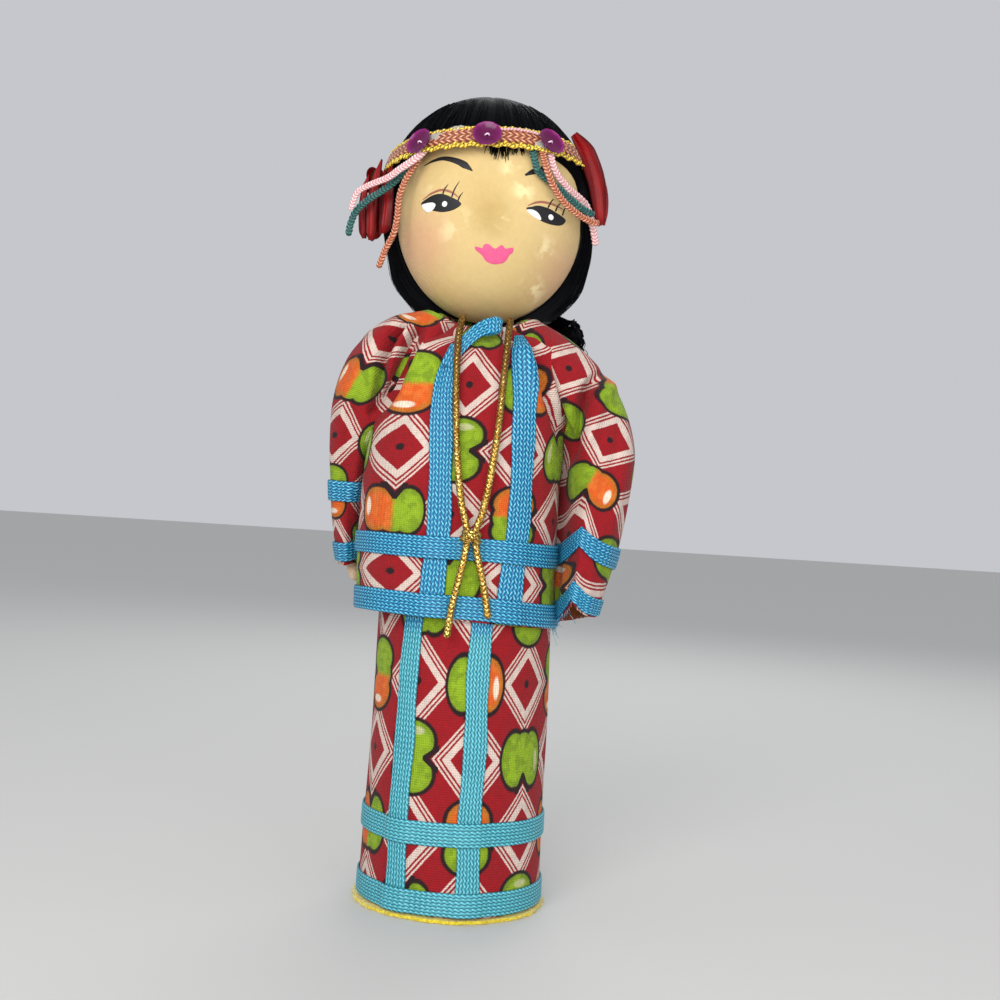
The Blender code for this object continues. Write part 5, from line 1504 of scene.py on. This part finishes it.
def ribbonGrid(line, wide, out, depth, count, thick, perHalf):
    # a tape with a closed section: depth(across) +- thick across its width, for leaves and loops
    top = np.linspace(-1, 1, count)
    across = np.concatenate([top, top[::-1]])[:, None]
    edge = np.concatenate([np.full(count, thick), np.full(count, -thick)])[:, None]
    grid = line[None] + across[..., None] * wide[None] + (depth(across) + edge)[..., None] * out[None]
    rows = np.concatenate([across, across[:1]])
    return grid, flatMap(lengthAlong(line)[None, :], rows * perHalf)


def leafGrid(line, widths, fold):
    # a folded satin ribbon with a V section: depth = fold * (|across|^0.8 - 0.5), and an edge rolled back
    line = smoothLine(line, 90)
    s = np.linspace(0, 1, 90)
    run = unit(np.gradient(line, axis=0))
    side = unit(np.cross(unit(line * np.array([1.0, 1.0, 0.0]) + np.array([0.0, -22.0, 0.0])), run))
    half = np.interp(s, np.linspace(0, 1, len(widths)), widths)

    def depth(across):
        vee = fold * (np.abs(across) ** 0.8 - 0.5) - 0.25 * np.abs(fold) * across ** 8
        return vee * np.minimum(half, 1.5) + 0.10 * np.sin(3 * across + 9 * s) + 0.12 * np.sin(8 * across - 3 * s)

    return ribbonGrid(line, half[:, None] * side, unit(np.cross(run, side)), depth, 25, 0.18, 2.5)


# looped ribbons behind the leaves: where they start, where they point, reach, opening, half width
flowerLoops = {
    "right": (((-26.6, -6.0, 170.5), (-0.30, 0.05, 0.95), 8.4, 2.6, 1.5),
              ((-26.6, -6.0, 170.5), (-0.26, 0.05, -0.96), 8.6, 2.8, 1.5),
              ((-27.2, -4.8, 170.0), (-0.30, 0.45, 0.80), 7.6, 2.8, 1.6),
              ((-27.2, -4.6, 170.0), (-0.30, 0.50, -0.76), 7.6, 2.8, 1.6)),
    "left": (((23.0, -4.6, 177.0), (0.16, 0.10, 0.98), 7.6, 2.6, 1.5),
             ((24.2, -4.4, 176.4), (0.22, 0.10, -0.96), 7.8, 2.6, 1.5),
             ((23.8, -3.2, 177.0), (0.30, 0.55, 0.76), 6.6, 2.8, 1.6),
             ((24.4, -3.0, 176.0), (0.30, 0.55, -0.76), 7.0, 2.8, 1.6)),
}


def loopGrid(root, aim, reach, opening, half):
    # a ribbon that leaves the root, turns over and comes back: along = reach * sin(pi s)^0.8 and
    # apart = opening * sin(2 pi s) / 2
    s = np.linspace(0.03, 0.97, 70)
    aim = unit(np.array(aim))
    across = unit(np.cross(aim, np.array([math.copysign(0.9, root[0]), 0.4, 0.0])))
    line = (np.array(root) + aim * (reach * np.sin(np.pi * s) ** 0.8)[:, None]
            + np.cross(across, aim) * (opening * np.sin(2 * np.pi * s) / 2)[:, None])
    out = unit(np.cross(across, unit(np.gradient(line, axis=0))))

    def depth(place):
        return 0.06 * np.sin(5 * place + 9 * s) + 0.3 * np.abs(place) ** 1.5

    return ribbonGrid(line, half * across + 0 * line, out, depth, 13, 0.15, 2.2)


def makeFlower(side):
    book = meshBook()
    for grid, uv in [leafGrid(*row) for row in flowerLeaves[side]] + [loopGrid(*row) for row in flowerLoops[side]]:
        book.grid(grid, loopU=True, caps=True, uv=uv)
    return book.make(side + "Flower", redSatin, (side + "_flower",), "red_satin")


makeFlower("right")
makeFlower("left")
print("doll: trim on the head made")


# Floor and light

studio = {"floor": rgb(206, 205, 202), "halfWidth": 3.0, "world": (0.93, 0.95, 1.0), "worldStrength": 0.60,
          "aim": (0, 0, 0.11)}
# each lamp: place, size and power
lamps = {"keyLight": ((-0.16, -0.56, 0.32), 0.36, 2.6), "fillLight": ((0.20, -0.62, 0.05), 0.6, 2.9),
         "rimLight": ((0.1, 0.5, 0.5), 0.4, 1.2)}


def makeStudio():
    wide = studio["halfWidth"]
    floorMesh = bpy.data.meshes.new("floor")
    floorMesh.from_pydata([(-wide, -wide, 0), (wide, -wide, 0), (wide, wide, 0), (-wide, wide, 0)], [],
                          [(0, 1, 2, 3)])
    desk = nodeDesk("pale floor", Base_Color=studio["floor"], Roughness=0.8)
    floorMesh.materials.append(desk.finish(Normal=desk.bump(desk.noise(60.0, 3.0), 0.05, 0.0005)))
    floor = bpy.data.objects.new("floor", floorMesh)
    bpy.context.scene.collection.objects.link(floor)
    world = bpy.data.worlds.new("studio")
    world.use_nodes = True
    background = world.node_tree.nodes["Background"]
    background.inputs["Color"].default_value = (*studio["world"], 1.0)
    background.inputs["Strength"].default_value = studio["worldStrength"]
    bpy.context.scene.world = world
    for name, (place, size, power) in lamps.items():
        data = bpy.data.lights.new(name, "AREA")
        data.size = size
        data.energy = power
        lamp = bpy.data.objects.new(name, data)
        aim = (Vector(studio["aim"]) - Vector(place)).to_track_quat("-Z", "Y").to_matrix().to_4x4()
        lamp.matrix_world = Matrix.Translation(place) @ aim
        bpy.context.scene.collection.objects.link(lamp)


makeStudio()
print("doll: studio lit")
